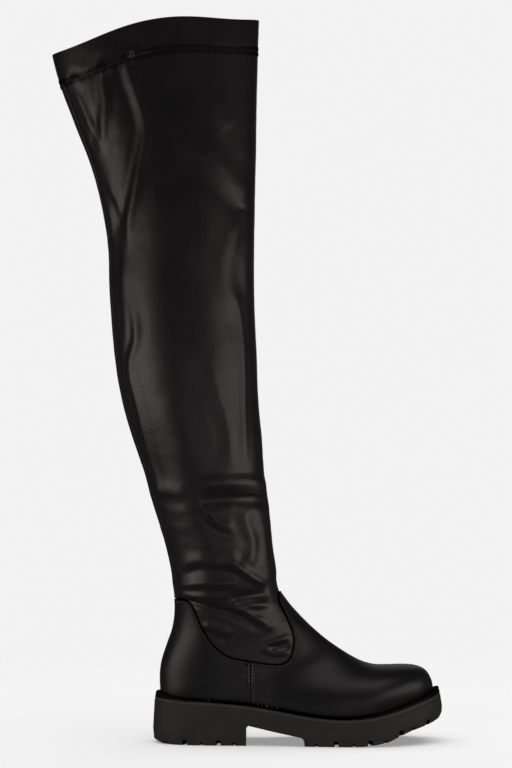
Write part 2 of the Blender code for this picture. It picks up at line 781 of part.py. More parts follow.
def foot_positions():
    """Positions of the rings from the ankle to the toe. Over the open underside they are
    spread so that their ends follow the feather edge closely round the heel and the toe."""
    heel, toe = apex_rows()
    ts = np.linspace(heel + 1e-4, toe - 1e-4, 600)
    ends = np.array([form_points(t, np.array([open_angle(t)]))[0] for t in ts])
    along = run_along(ends)
    share = np.linspace(0, 1, FOOT_RINGS + 1)
    eased = share - 0.5 * np.sin(2 * math.pi * share) / (2 * math.pi)
    under = np.interp(eased * along[-1], along, ts)
    under[[0, -1]] = heel, toe
    above = np.linspace(ANKLE_ROW, heel, HEEL_RINGS + 1)[:-1]
    tip = [toe + 0.5 * (TIP_ROW - toe), TIP_ROW]
    return [*above, *under, *tip]


def cuff_positions():
    return list(np.linspace(0, CUFF_ROW, CUFF_RINGS + 1))


def position_step(t, distance):
    """How far a position moves for a distance along the back of the leg at t."""
    points = form_points(t, np.array([math.pi])), form_points(t + 0.1, np.array([math.pi]))
    return 0.1 * distance / np.linalg.norm(points[1] - points[0])


def leg_positions():
    return list(np.linspace(CUFF_ROW, ANKLE_ROW, LEG_RINGS + 1))


def facet_ring(ts, t, angles, offset):
    """The ring at t on the flat facets between the rings at ts."""
    k = min(max(int(np.searchsorted(ts, t)), 1), len(ts) - 1)
    share = (t - ts[k - 1]) / (ts[k] - ts[k - 1])
    low, high = (form_ring(near, angles, offset) for near in (ts[k - 1], ts[k]))
    return (1 - share) * low + share * high


def make_upper():
    recess = CUFF_WALL + GAP
    cuff = cuff_positions()
    cuff[0] += position_step(0, GAP)
    leg = leg_positions()
    foot = foot_positions()[1:]
    outer = [-recess] * len(cuff) + [0.0] * (len(leg) + len(foot))
    inner = [-recess - HEM_WALL] * len(cuff) + [-LEG_WALL] * (len(leg) + len(foot))
    shell = form_shell(cuff + leg + foot, outer, inner)
    new_object("upper", shell, (0.012, 0.011, 0.011), 0.35)


def make_cuff():
    ts = cuff_positions()
    ts[-1] -= position_step(CUFF_ROW, GAP)
    shell = form_shell(ts, [0.0] * len(ts), [-CUFF_WALL] * len(ts))
    new_object("cuff", shell, (0.012, 0.011, 0.011), 0.35)


def panel_line():
    line = [(foot_x(x), HEEL_SEAT + z * INSTEP_RISE) for x, z in PANEL_LINE]
    return smooth_line(line, 2)


def make_vamp_and_counter():
    """Both are cut from one wall over the upper, by the panel line and the side seam."""
    line = panel_line()
    far, below = FOOT_LENGTH, -CUTTER_EXTRA
    seam_z = float(np.interp(SEAM_REACH, line[: len(line) // 2 + 4, 0], line[: len(line) // 2 + 4, 1]))
    behind = [p for p in line[: len(line) // 2] if p[0] < SEAM_REACH - GAP]
    ahead = [p for p in line if p[0] > SEAM_REACH + GAP]
    counter_edge = [
        (SEAM_REACH - GAP / 2, below),
        (SEAM_REACH - GAP / 2, seam_z),
        *behind[::-1],
        (-far, line[0][1]),
        (-far, below),
    ]
    vamp_edge = [
        (SEAM_REACH + GAP / 2, below),
        (SEAM_REACH + GAP / 2, seam_z),
        *ahead,
        (2 * far, line[-1][1]),
        (2 * far, below),
    ]
    ts = [ANKLE_ROW - 1, *foot_positions()]
    walls = [ENCASED] * len(ts), [GAP] * len(ts)
    for name, edge in (("vamp", vamp_edge), ("counter", counter_edge)):
        piece = new_object(name, form_shell(ts, *walls), (0.014, 0.013, 0.013), 0.4)
        boolean(piece, prism(edge, -BALL_WIDTH, BALL_WIDTH), "INTERSECT")


def make_back_stay():
    """A strip over the back seam. It leaves the back line towards the outer side at the thigh."""
    line = panel_line()
    drift = height_curve([(0, 1), (3, 0.8), (5, 0.3), (7, 0), (TIP_ROW, 0)])
    top = CUFF_ROW + position_step(CUFF_ROW, GAP)
    rings = leg_positions() + foot_positions()[1:]
    backs = np.linspace(ANKLE_ROW, ANKLE_ROW + 5, 100)
    heights = [facet_ring(rings, t, np.array([math.pi]), 0)[0, 2] for t in backs]
    bottom = float(np.interp(-(line[0][1] + 2 * GAP), -np.array(heights), backs))
    ts = [top, *(t for t in rings if top < t < bottom), bottom]
    angles = np.radians(np.linspace(100, 200, 401))
    middle = np.argmin(np.abs(angles - math.pi))
    bm = bmesh.new()
    walls = []
    for offset in (GAP + STAY_WALL, GAP):
        rows = []
        for t in ts:
            ring = form_ring(t, angles, GAP)
            along = run_along(ring)
            along = along[middle] - along
            centre = drift(t) * STAY_DRIFT
            wanted = centre + STAY_WIDTH * np.linspace(0.5, -0.5, 5)
            chosen = np.interp(wanted[::-1], along[::-1], angles[::-1])[::-1]
            rows.append([bm.verts.new(p) for p in facet_ring(rings, t, chosen, offset)])
        walls.append(rows)
    outer, inner = walls
    add_faces(bm, outer)
    add_faces(bm, inner, flip=True)
    for end in (0, -1):
        add_faces(bm, [outer[end], inner[end]])
        add_faces(bm, [[row[end] for row in outer], [row[end] for row in inner]])
    new_object("back_stay", bm, (0.012, 0.011, 0.011), 0.35)


def main():
    for obj in list(bpy.data.objects):
        bpy.data.objects.remove(obj, do_unlink=True)
    make_outsole()
    make_welt()
    make_insole()
    make_upper()
    make_vamp_and_counter()
    make_cuff()
    make_back_stay()


main()
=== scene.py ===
# Thigh high stretch boot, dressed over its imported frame.
# Metres. +X points to the toe, +Y to the inner side of the leg and +Z up.

import math

import bmesh
import bpy
import numpy as np
from mathutils import Matrix, Quaternion, Vector, noise
from mathutils.bvhtree import BVHTree


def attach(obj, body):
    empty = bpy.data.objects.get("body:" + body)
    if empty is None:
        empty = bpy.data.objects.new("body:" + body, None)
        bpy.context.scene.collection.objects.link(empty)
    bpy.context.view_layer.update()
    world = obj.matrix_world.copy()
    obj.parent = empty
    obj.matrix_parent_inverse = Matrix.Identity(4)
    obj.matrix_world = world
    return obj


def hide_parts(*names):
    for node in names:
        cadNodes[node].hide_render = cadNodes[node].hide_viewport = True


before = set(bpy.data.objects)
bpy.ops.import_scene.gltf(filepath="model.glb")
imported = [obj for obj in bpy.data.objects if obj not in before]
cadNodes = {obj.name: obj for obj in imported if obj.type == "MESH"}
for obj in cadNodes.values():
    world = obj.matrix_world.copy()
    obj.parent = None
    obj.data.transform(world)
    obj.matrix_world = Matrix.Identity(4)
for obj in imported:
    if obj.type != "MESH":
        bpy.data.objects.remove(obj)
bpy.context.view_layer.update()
mm = 0.001
print("frame loaded:", ", ".join(sorted(cadNodes)))


# Camera, light and floor

cameraSet = {"place": (0.0539, -3.0, 0.3434), "lens": 146.2, "sensor": 36.0}
lightSet = {
    "background": 0.89,  # what the camera sees behind the boot
    "dome": 0.045,       # what lights the boot from all round
    "boxes": [           # name, place, aims at, width, height, watts, colour
        ("leftBox", (-0.83, -0.47, 0.25), (-0.02, 0.0, 0.25), 0.74, 0.38, 2.1, (1.0, 0.85, 0.85)),
        ("rightBox", (0.84, -0.44, 0.28), (0.03, 0.0, 0.28), 1.00, 0.40, 2.1, (1.0, 0.85, 0.85)),
        ("topBox", (0.15, -0.9, 2.1), (0.05, 0.0, 0.2), 1.5, 1.2, 6.2, (1.0, 0.93, 0.94)),
        ("lowBox", (0.20, -1.30, 0.08), (0.05, 0.0, 0.06), 0.70, 0.14, 0.48, (1.0, 0.92, 0.90)),
        ("backBox", (0.0, 2.2, 1.1), (0.0, 0.0, 0.35), 1.8, 1.6, 2.5, (1.0, 0.98, 0.97)),
    ],
    "floorBox": {"height": 2.6, "size": 5.0, "watts": 113},
}
floorSet = {"radius": 1.4, "solidTo": 0.40, "goneBy": 1.0, "albedo": 0.80, "glow": 0.30}


def setCamera():
    data = bpy.data.cameras.new("camera")
    data.lens = cameraSet["lens"]
    data.sensor_width = cameraSet["sensor"]
    data.sensor_fit = "AUTO"
    data.clip_end = 50
    camera = bpy.data.objects.new("camera", data)
    camera.location = cameraSet["place"]
    camera.rotation_euler = (math.radians(90), 0, 0)
    bpy.context.scene.collection.objects.link(camera)
    bpy.context.scene.camera = camera


def addLight(name, place, turn, width, height, watts, colour=(1.0, 1.0, 1.0)):
    data = bpy.data.lights.new(name, "AREA")
    data.shape = "RECTANGLE"
    data.size, data.size_y = width, height
    data.energy, data.color = watts, colour
    light = bpy.data.objects.new(name, data)
    light.location, light.rotation_euler = place, turn
    light.visible_camera = False
    bpy.context.scene.collection.objects.link(light)
    return light


def setLights():
    for name, place, target, *rest in lightSet["boxes"]:
        way = Vector(target) - Vector(place)
        addLight(name, place, way.to_track_quat("-Z", "Y").to_euler(), *rest)


def setFloorLight(floor):
    # the boxes light the boot alone
    boot = bpy.data.collections.new("notLitByBoxes")
    boot.objects.link(floor)
    boot.collection_objects[0].light_linking.link_state = "EXCLUDE"
    for name, *_ in lightSet["boxes"]:
        bpy.data.objects[name].light_linking.receiver_collection = boot
    # a broad light from above that only the floor receives, so that the boot shades it softly
    box = lightSet["floorBox"]
    place = (0.05, 0, box["height"])
    light = addLight("floorBox", place, (0, 0, 0), box["size"], box["size"], box["watts"])
    lit = bpy.data.collections.new("litByFloorBox")
    lit.objects.link(floor)
    light.light_linking.receiver_collection = lit


setCamera()
setLights()
bpy.context.scene.view_settings.view_transform = "Standard"
print("camera and lights placed")


# Material maths

class Wire:
    # a socket that can be used in sums; each sum adds a Math node
    def __init__(self, finish, socket):
        self.finish, self.socket = finish, socket

    def sum(self, operation, *values):
        return self.finish.node("ShaderNodeMath", {"operation": operation}, dict(enumerate(values)))

    def __add__(self, other):
        return self.sum("ADD", self, other)

    def __sub__(self, other):
        return self.sum("SUBTRACT", self, other)

    def __rsub__(self, other):
        return self.sum("SUBTRACT", other, self)

    def __mul__(self, other):
        return self.sum("MULTIPLY", self, other)

    def __pow__(self, other):
        return self.sum("POWER", self, other)

    __radd__ = __add__
    __rmul__ = __mul__

    def rise(self, low, high):
        # 0 below low, 1 above high, soft between
        return self.finish.node(
            "ShaderNodeMapRange",
            {"interpolation_type": "SMOOTHSTEP"},
            {"Value": self, "From Min": low, "From Max": high, "To Min": 0.0, "To Max": 1.0},
        )

    def bump(self, low, middle, high):
        # 1 at middle, 0 outside low and high
        return self.rise(low, middle) * (1 - self.rise(middle, high))


class Finish:
    def __init__(self, name, world=False):
        if world:
            self.owner = bpy.data.worlds.new(name)
        else:
            self.owner = bpy.data.materials.new(name)
        self.owner.use_nodes = True
        self.tree = self.owner.node_tree
        self.tree.nodes.clear()

    def node(self, kind, settings=None, sockets=None, output=0):
        made = self.tree.nodes.new(kind)
        for key, value in (settings or {}).items():
            if key == "stops":
                ramp = made.color_ramp
                while len(ramp.elements) < len(value):
                    ramp.elements.new(0.5)
                for element, (place, colour) in zip(ramp.elements, value):
                    element.position, element.color = place, colour
            else:
                setattr(made, key, value)
        for key, value in (sockets or {}).items():
            if isinstance(value, Wire):
                self.tree.links.new(value.socket, made.inputs[key])
            else:
                made.inputs[key].default_value = value
        return Wire(self, made.outputs[output]) if len(made.outputs) else None

    def place(self):
        return self.node("ShaderNodeTexCoord", output="Object")

    def axes(self, vector):
        split = self.node("ShaderNodeSeparateXYZ", None, {"Vector": vector})
        outputs = split.socket.node.outputs
        return [Wire(self, outputs[k]) for k in range(3)]

    def attribute(self, name):
        return self.node("ShaderNodeAttribute", {"attribute_name": name}, output="Fac")

    def noise(self, scale, detail, roughness, vector=None, distortion=0.0):
        sockets = {"Vector": vector or self.place(), "Scale": scale, "Detail": detail}
        sockets.update({"Roughness": roughness, "Distortion": distortion})
        return self.node("ShaderNodeTexNoise", None, sockets)

    def cells(self, scale, smooth=None):
        sockets = {"Vector": self.place(), "Scale": scale}
        if smooth is None:
            return self.node("ShaderNodeTexVoronoi", None, sockets)
        sockets["Smoothness"] = smooth
        return self.node("ShaderNodeTexVoronoi", {"feature": "SMOOTH_F1"}, sockets)

    def stretched(self, scale, turn):
        sockets = {"Vector": self.place(), "Scale": scale, "Rotation": turn}
        return self.node("ShaderNodeMapping", None, sockets)

    def mix(self, share, first, second):
        return self.node(
            "ShaderNodeMix",
            {"data_type": "RGBA"},
            {0: share, 6: rgba(first), 7: rgba(second)},
            output=2,
        )

    def raised(self, height, distance, before=None):
        sockets = {"Height": height, "Strength": 1.0, "Distance": distance}
        if before:
            sockets["Normal"] = before
        return self.node("ShaderNodeBump", None, sockets)

    def surface(self, fixed, varying, gap=None):
        # gap is 1 where the surface sinks into a seam or gap; there a black, matte surface is mixed in as
        # painted shade
        made = self.node("ShaderNodeBsdfPrincipled", None, {**fixed, **varying})
        if gap:
            shade = {"Base Color": rgba((0.0008, 0.0008, 0.0008)), "Roughness": 1.0}
            shade["Specular IOR Level"] = 0.0
            black = self.node("ShaderNodeBsdfPrincipled", None, shade)
            made = self.node("ShaderNodeMixShader", None, {0: gap, 1: made, 2: black})
        self.node("ShaderNodeOutputMaterial", None, {"Surface": made})
        return self.owner


def rgba(colour):
    return colour if isinstance(colour, Wire) else (*colour, 1.0)


def makeWorld():
    world = Finish("studio", world=True)
    seen = world.node("ShaderNodeLightPath", output="Is Camera Ray")
    level = seen * (lightSet["background"] - lightSet["dome"]) + lightSet["dome"]
    back = world.node(
        "ShaderNodeBackground", None, {"Color": (1.0, 1.0, 1.0, 1.0), "Strength": level}
    )
    world.node("ShaderNodeOutputWorld", None, {"Surface": back})
    bpy.context.scene.world = world.owner


def makeFloor():
    bm = bmesh.new()
    bmesh.ops.create_circle(bm, cap_ends=True, segments=96, radius=floorSet["radius"])
    bmesh.ops.translate(bm, verts=bm.verts, vec=(0.05, 0, -0.0002))
    mesh = bpy.data.meshes.new("floor")
    bm.to_mesh(mesh)
    bm.free()
    floor = bpy.data.objects.new("floor", mesh)
    floor.visible_glossy = False
    bpy.context.scene.collection.objects.link(floor)
    paint = Finish("paleFloor")
    along, across, _ = paint.axes(paint.place())
    away = (along - 0.05) * (along - 0.05) + across * across
    share = (away**0.5).rise(floorSet["solidTo"], floorSet["goneBy"])
    lit = paint.node(
        "ShaderNodeBsdfPrincipled",
        None,
        {
            "Base Color": (*[floorSet["albedo"]] * 3, 1.0),
            "Roughness": 0.9,
            "Specular IOR Level": 0.1,
            "Emission Color": (1.0, 1.0, 1.0, 1.0),
            "Emission Strength": floorSet["glow"],
        },
    )
    clear = paint.node("ShaderNodeBsdfTransparent")
    both = paint.node("ShaderNodeMixShader", None, {0: share, 1: lit, 2: clear})
    paint.node("ShaderNodeOutputMaterial", None, {"Surface": both})
    mesh.materials.append(paint.owner)
    setFloorLight(floor)


makeWorld()
makeFloor()
print("studio made")


# Leathers, rubber, thread and linings

stretchSet = {
    "dark": (0.0054, 0.0049, 0.0052), "worn": (0.0100, 0.0084, 0.0088), "shine": 0.5,
    "roughness": 0.375, "roughVary": 0.10, "grain": 0.085 * mm, "wrinkle": 0.25 * mm, "mottle": 0.5,
    "coat": 0.10, "coatRoughness": 0.30,
}
overlaySet = {
    "dark": (0.0042, 0.0041, 0.0046), "worn": (0.0100, 0.0092, 0.0096), "shine": 0.40,
    "roughness": 0.39, "roughVary": 0.08, "grain": 0.060 * mm, "wrinkle": 0.06 * mm, "mottle": 0.6,
    "coat": 0.08, "coatRoughness": 0.35,
}
soleSet = {
    "dark": (0.0160, 0.0152, 0.0137), "worn": (0.0290, 0.0276, 0.0249),
    "shine": 0.42, "roughness": 0.66, "grain": 0.05 * mm, "rimHighlight": 1.9,
}
weltSet = {**soleSet, "dark": (0.0060, 0.0058, 0.0055), "worn": (0.0120, 0.0115, 0.0110), "roughness": 0.55}
# painted shade, black and matte, in the gaps and seams: attribute, and where each dark band starts, peaks
# and ends, in millimetres from the edge plus 20, and how strong it is
stretchShadeBands = [
    ("panelGap", 17.8, 19.4, 21.2, 1.0),
    ("seamGap", 19.2, 20.0, 20.8, 1.0), ("seamGap", 23.9, 24.6, 25.3, 0.8),
]
overlayShadeBands = [
    ("panelGap", 18.8, 20.0, 20.8, 1.0), ("panelGap", 21.7, 22.7, 23.7, 0.85),
    ("seamGap", 19.0, 20.0, 20.6, 1.0), ("soleGap", 12.0, 26.2, 29.0, 1.0),
]


def leather(name, look, ankleWrinkles, shadeBands):
    made = Finish(name)
    _, _, height = made.axes(made.place())
    # painted shade: where a band lies, the leather turns black and matte, standing in for the shadow in
    # that gap or seam
    seam = 0.0
    for attribute, low, middle, high, share in shadeBands:
        seam = made.attribute(attribute).bump(low, middle, high) * share + seam
    seam = seam.sum("MINIMUM", seam, 1.0)
    broad = made.noise(28.0, 3.0, 0.55)
    fine = made.noise(420.0, 2.0, 0.6)
    colour = made.mix(broad.rise(0.35, 0.75) * 0.7 + fine * 0.3, look["dark"], look["worn"])
    rough = look["roughness"] + (broad - 0.5) * look["roughVary"] + (fine - 0.5) * 0.06
    pebbles = made.cells(1000.0, smooth=0.4)
    pores = made.noise(1900.0, 3.0, 0.65)
    grain = made.raised(pebbles * 0.7 + pores * 0.3, look["grain"])
    across = made.stretched((55.0, 55.0, 150.0), (0.0, 0.2, 0.0))
    drawn = made.noise(1.0, 4.0, 0.55, across, distortion=0.8)
    mottle = made.noise(330.0, 3.0, 0.6)
    strength = height.bump(0.04, 0.16, 0.34) * ankleWrinkles + 0.16
    soft = made.raised(drawn * strength + mottle * look["mottle"], look["wrinkle"], grain)
    return made.surface(
        {"Specular IOR Level": look["shine"], "Coat Roughness": look["coatRoughness"], "Coat IOR": 1.45},
        {
            "Base Color": colour,
            "Roughness": rough,
            "Coat Weight": look["coat"] + (broad - 0.5) * 0.08,
            "Normal": soft,
        },
        seam,
    )


def rubber(name, look):
    made = Finish(name)
    broad = made.noise(45.0, 4.0, 0.6)
    fine = made.noise(900.0, 3.0, 0.6)
    _, _, height = made.axes(made.place())
    low = 1 - height.rise(0.0, 0.006)
    colour = made.mix(broad.rise(0.3, 0.8) * 0.6 + low * 0.3, look["dark"], look["worn"])
    rough = look["roughness"] + (broad - 0.5) * 0.16 + (fine - 0.5) * 0.10
    rim = made.attribute("soleGap")  # painted highlight along the rim's bevel, painted shadow in the gap over it
    # painted highlight: a paler band along the top bevel of the rim
    pale = tuple(look["rimHighlight"] * value for value in look["worn"])
    colour = made.mix(rim.bump(20.8, 22.8, 24.2) * 0.55, colour, pale)
    stipple = made.raised(fine * 0.6 + made.cells(1800.0) * 0.4, look["grain"])
    # painted shadow: black in the gap over the rim, and painted shade deep in the slots of the tread
    dark = rim.rise(24.0, 24.7) * 0.85
    dark = dark.sum("MAXIMUM", dark, made.attribute("pit"))
    varying = {"Base Color": colour, "Roughness": rough, "Normal": stipple}
    return made.surface({"Specular IOR Level": look["shine"]}, varying, dark)


def knit(name, dark, pale, pitch):
    # a napped textile: fine ribs with fuzz over them
    made = Finish(name)
    _, _, height = made.axes(made.place())
    ribs = made.node("ShaderNodeMath", {"operation": "SINE"}, {0: height * (6.283 / pitch)})
    fuzz = made.noise(1400.0, 4.0, 0.7)
    patches = made.noise(60.0, 3.0, 0.6)
    colour = made.mix(fuzz * 0.6 + patches * 0.4, dark, pale)
    lift = made.raised(ribs * 0.15 + fuzz, 0.25 * mm)
    rough = 0.85 + (fuzz - 0.5) * 0.2
    varying = {"Base Color": colour, "Roughness": rough, "Normal": lift}
    return made.surface({"Specular IOR Level": 0.2}, varying)


def yarn(name, dark, pale, shine):
    made = Finish(name)
    twist = made.noise(3200.0, 2.0, 0.6)
    varying = {"Base Color": made.mix(twist, dark, pale), "Roughness": 0.5 + twist * 0.2}
    varying["Normal"] = made.raised(twist, 0.05 * mm)
    return made.surface({"Specular IOR Level": shine}, varying)


stretchLeather = leather("stretchLeather", stretchSet, 1.0, stretchShadeBands)
overlayLeather = leather("overlayLeather", overlaySet, 0.15, overlayShadeBands)
soleRubber = rubber("soleRubber", soleSet)
weltRubber = rubber("weltRubber", weltSet)
liningCloth = knit("liningCloth", (0.010, 0.010, 0.011), (0.030, 0.029, 0.030), 1.2 * mm)
insoleCloth = knit("insoleCloth", (0.016, 0.015, 0.014), (0.045, 0.042, 0.038), 1.8 * mm)
# black thread, near-black and matte, darker than the leather: the zigzag also carries the painted shade of
# its needle holes
blackThread = yarn("blackThread", (0.0008, 0.0008, 0.0008), (0.003, 0.003, 0.003), 0.06)
# thread painted paler, so that its colour also holds a painted highlight along the panel stitches
highlitThread = yarn("highlitThread", (0.050, 0.045, 0.044), (0.110, 0.100, 0.096), 0.5)
palerThread = yarn("palerThread", (0.130, 0.115, 0.108), (0.300, 0.270, 0.250), 0.5)
# pale specks that stand for glints of light in the gap over the sole: painted highlights
speckGlint = yarn("speckGlint", (0.20, 0.19, 0.18), (0.50, 0.48, 0.46), 0.2)
print("materials made")


# Form of the boot: the rows that the solids were lofted over

formSet = {
    "footLength": 0.2587, "heelReach": 0.0361, "ballWidth": 0.088, "instepRise": 0.1165,
    "heelSeat": 0.036, "ballSeat": 0.0206, "toeLift": 0.0224,
    "legRise": 0.642, "legDepth": 0.139, "legWidth": 0.102, "legLean": 0.065,
    "ankleReach": 0.0224, "collarLift": 0.013, "featherBand": 0.006,
}
# shaft rows, collar first: rise, lean, depth, width, tilt, lift
legRows = [
    (0.996, 1.000, 1.432, 0.98, 0.168, 1.00), (0.951, 0.950, 1.369, 0.98, 0.170, 0.90),
    (0.888, 0.846, 1.258, 0.98, 0.160, 0.60), (0.818, 0.733, 1.142, 0.98, 0.107, 0.35),
    (0.763, 0.673, 1.069, 0.99, 0.053, 0.15), (0.718, 0.634, 1.026, 1.00, 0.014, 0.00),
    (0.676, 0.611, 1.001, 1.00, 0.000, 0.00), (0.622, 0.605, 0.994, 0.99, 0.000, 0.00),
    (0.572, 0.582, 0.986, 0.98, 0.000, 0.00), (0.523, 0.547, 0.978, 0.98, 0.000, 0.00),
    (0.477, 0.509, 0.955, 0.97, 0.000, 0.00), (0.435, 0.450, 0.922, 0.95, 0.000, 0.00),
    (0.394, 0.370, 0.883, 0.92, 0.000, 0.00), (0.349, 0.281, 0.824, 0.88, 0.000, 0.00),
    (0.312, 0.206, 0.799, 0.85, 0.000, 0.00), (0.274, 0.123, 0.768, 0.82, 0.000, 0.00),
    (0.237, 0.051, 0.735, 0.80, 0.000, 0.00), (0.203, -0.010, 0.718, 0.79, 0.000, 0.00),
]
# foot rows, ankle first: front x and rise, back x and rise, half width, sway, low, crown, base
footRows = [
    (0.427, 1.031, 0.049, 0.887, 0.430, 0.000, 0.50, 2.05, 2.10),
    (0.458, 0.926, 0.051, 0.741, 0.412, 0.000, 0.50, 2.00, 2.10),
    (0.496, 0.841, 0.042, 0.603, 0.393, 0.000, 0.49, 1.95, 2.15),
    (0.535, 0.766, 0.022, 0.470, 0.376, -0.002, 0.47, 1.95, 2.20),
    (0.570, 0.705, 0.001, 0.312, 0.362, -0.004, 0.45, 1.95, 2.30),
    (0.605, 0.649, -0.003, 0.157, 0.354, -0.006, 0.43, 1.95, 2.50),
    (0.638, 0.603, 0.007, 0.030, 0.350, -0.008, 0.42, 1.95, 2.80),
    (0.669, 0.560, 0.046, -0.061, 0.350, -0.014, 0.42, 2.00, 2.80),
    (0.704, 0.513, 0.198, -0.080, 0.358, -0.026, 0.42, 2.05, 2.65),
    (0.743, 0.465, 0.372, -0.082, 0.396, -0.036, 0.43, 2.10, 2.80),
    (0.789, 0.424, 0.546, -0.085, 0.462, -0.030, 0.45, 2.15, 2.95),
    (0.843, 0.392, 0.700, -0.085, 0.500, -0.005, 0.45, 2.20, 3.00),
    (0.897, 0.356, 0.805, -0.086, 0.472, 0.022, 0.45, 2.25, 3.00),
    (0.940, 0.313, 0.882, -0.086, 0.407, 0.044, 0.45, 2.25, 3.00),
    (0.973, 0.255, 0.936, -0.062, 0.319, 0.060, 0.45, 2.25, 2.80),
    (0.991, 0.185, 0.969, -0.023, 0.214, 0.071, 0.46, 2.20, 2.50),
    (0.998, 0.134, 0.993, 0.044, 0.104, 0.077, 0.48, 2.10, 2.20),
    (1.000, 0.086, 1.000, 0.086, 0.000, 0.077, 0.50, 2.00, 2.00),
]
# seat of the sole: x along the foot, share of the heel's rise, share of the toe's
seatRows = [
    (-0.060, 1.23, 0.00), (0.020, 1.15, 0.00), (0.082, 1.05, 0.00), (0.167, 1.00, 0.00),
    (0.325, 0.77, 0.00), (0.449, 0.43, 0.00), (0.545, 0.17, 0.00), (0.642, 0.00, 0.00),
    (0.719, 0.00, 0.01), (0.804, 0.00, 0.15), (0.893, 0.00, 0.44), (0.967, 0.00, 0.73),
    (1.050, 0.00, 1.03),
]


def throughRows(rows, t):
    rows = np.asarray(rows, float)
    last = len(rows) - 1
    i = int(min(max(math.floor(t), 0), last - 1))
    f = t - i
    a, b, c, d = (rows[min(max(k, 0), last)] for k in (i - 1, i, i + 1, i + 2))
    return 0.5 * (2 * b + (c - a) * f + (2 * a - 5 * b + 4 * c - d) * f**2 + (3 * b - a - 3 * c + d) * f**3)


def smoothLine(points, steps):
    count = (len(points) - 1) * steps
    return np.array([throughRows(points, k / steps) for k in range(count + 1)])


def footX(share):
    return share * formSet["footLength"] - formSet["heelReach"]


seatLine = smoothLine(
    [
        (
            footX(x),
            formSet["ballSeat"]
            + heel * (formSet["heelSeat"] - formSet["ballSeat"])
            + toe * formSet["toeLift"],
        )
        for x, heel, toe in seatRows
    ],
    8,
)


def featherHeight(x):
    return np.interp(x, seatLine[:, 0], seatLine[:, 1]) + 0.3 * mm


def legSection(rise, lean, depth, width, tilt, lift):
    deep = depth * formSet["legDepth"]
    x = formSet["ankleReach"] - lean * formSet["legLean"]
    z = formSet["heelSeat"] + rise * formSet["legRise"]
    tip = tilt * deep / 2
    half = width * formSet["legWidth"] / 2
    ends = (x + deep / 2, z + tip, x - deep / 2, z - tip)
    return (*ends, half, 0, 0.5, 2.1, 2.1, lift * formSet["collarLift"])


def footSection(frontX, frontRise, backX, backRise, half, sway, low, crown, base):
    front, back = footX(frontX), footX(backX)
    seatOf = lambda x: float(featherHeight(x)) - 0.3 * mm
    return (
        front, seatOf(front) + frontRise * formSet["instepRise"],
        back, seatOf(back) + backRise * formSet["instepRise"],
        half * formSet["ballWidth"], sway * formSet["ballWidth"], low, crown, base, 0,
    )


formRows = [legSection(*row) for row in legRows] + [footSection(*row) for row in footRows]
cuffRow, ankleRow, tipRow = 1, len(legRows) - 1, len(formRows) - 1


def formPoints(t, angles):
    # angle 0 is the front of a row and +90 degrees its outer side
    frontX, frontZ, backX, backZ, half, sway, low, crown, base, lift = throughRows(formRows, t)
    cosine, sine = np.cos(angles), np.sin(angles)
    ahead = cosine >= 0
    power = np.where(ahead, 2 / crown, 2 / base)
    reach = np.abs(cosine) ** power
    along = np.where(ahead, low + (1 - low) * reach, low - low * reach)
    wide = np.abs(sine) ** power
    return np.stack(
        [
            backX + along * (frontX - backX),
            sway - half * wide * np.sign(sine),
            backZ + along * (frontZ - backZ) + lift * wide**5,
        ],
        axis=-1,
    )


def formNormals(t, angles, points):
    step = 0.02
    near = min(max(t, step), tipRow - step)
    turn = formPoints(near, angles + step) - formPoints(near, angles - step)
    run = formPoints(near + step / 2, angles) - formPoints(near - step / 2, angles)
    normals = np.cross(turn, run)
    normals /= np.maximum(np.linalg.norm(normals, axis=1), 1e-12)[:, None]
    clear = (points[:, 2] - featherHeight(points[:, 0])) / formSet["featherBand"]
    normals[:, 2] *= np.clip(clear, 0, 1)
    normals /= np.maximum(np.linalg.norm(normals, axis=1), 1e-12)[:, None]
    if t > tipRow - step:
        normals[:] = (1, 0, 0)
    return normals


def openAngle(t):
    # how far round from the front a row runs before it meets the sole
    angles = np.radians(np.linspace(0, 180, 361))
    points = formPoints(t, angles)
    above = points[:, 2] - featherHeight(points[:, 0])
    below = np.flatnonzero(above < 0)
    if len(below) == 0:
        return math.pi
    k = below[0]
    return angles[k - 1] + above[k - 1] / (above[k - 1] - above[k]) * (angles[k] - angles[k - 1])


def lengthAlong(points):
    steps = np.linalg.norm(np.diff(points, axis=0), axis=1)
    return np.concatenate([[0], np.cumsum(steps)])


def pointAt(place, along, values):
    return Vector([np.interp(place, along, values[:, i]) for i in range(3)])


def nearestOn(points, line):
    # for each point: how far the line is, which stretch is nearest, and the share along that
    best = np.full(len(points), 1e9)
    stretch, share = np.zeros(len(points), int), np.zeros(len(points))
    for k, (start, end) in enumerate(zip(line[:-1], line[1:])):
        way = end - start
        length = np.linalg.norm(way)
        if length < 1e-7:
            continue
        f = np.clip((points - start) @ way / length**2, 0, 1)
        distance = np.linalg.norm(points - (start + f[:, None] * way), axis=1)
        closer = distance < best
        best[closer], stretch[closer], share[closer] = distance[closer], k, f[closer]
    return best, stretch, share


def clamp(value):
    return min(max(value, 0), 1)


def evenRows(low, high, spacing):
    # positions between two rows at an even distance down the front and the back
    ts = np.linspace(low, high, 400)
    ends = [np.array([formPoints(t, np.array([a]))[0] for t in ts]) for a in (0.0, math.pi)]
    along = (lengthAlong(ends[0]) + lengthAlong(ends[1])) / 2
    count = max(int(round(along[-1] / spacing)), 1)
    return list(np.interp(np.linspace(0, along[-1], count + 1), along, ts))


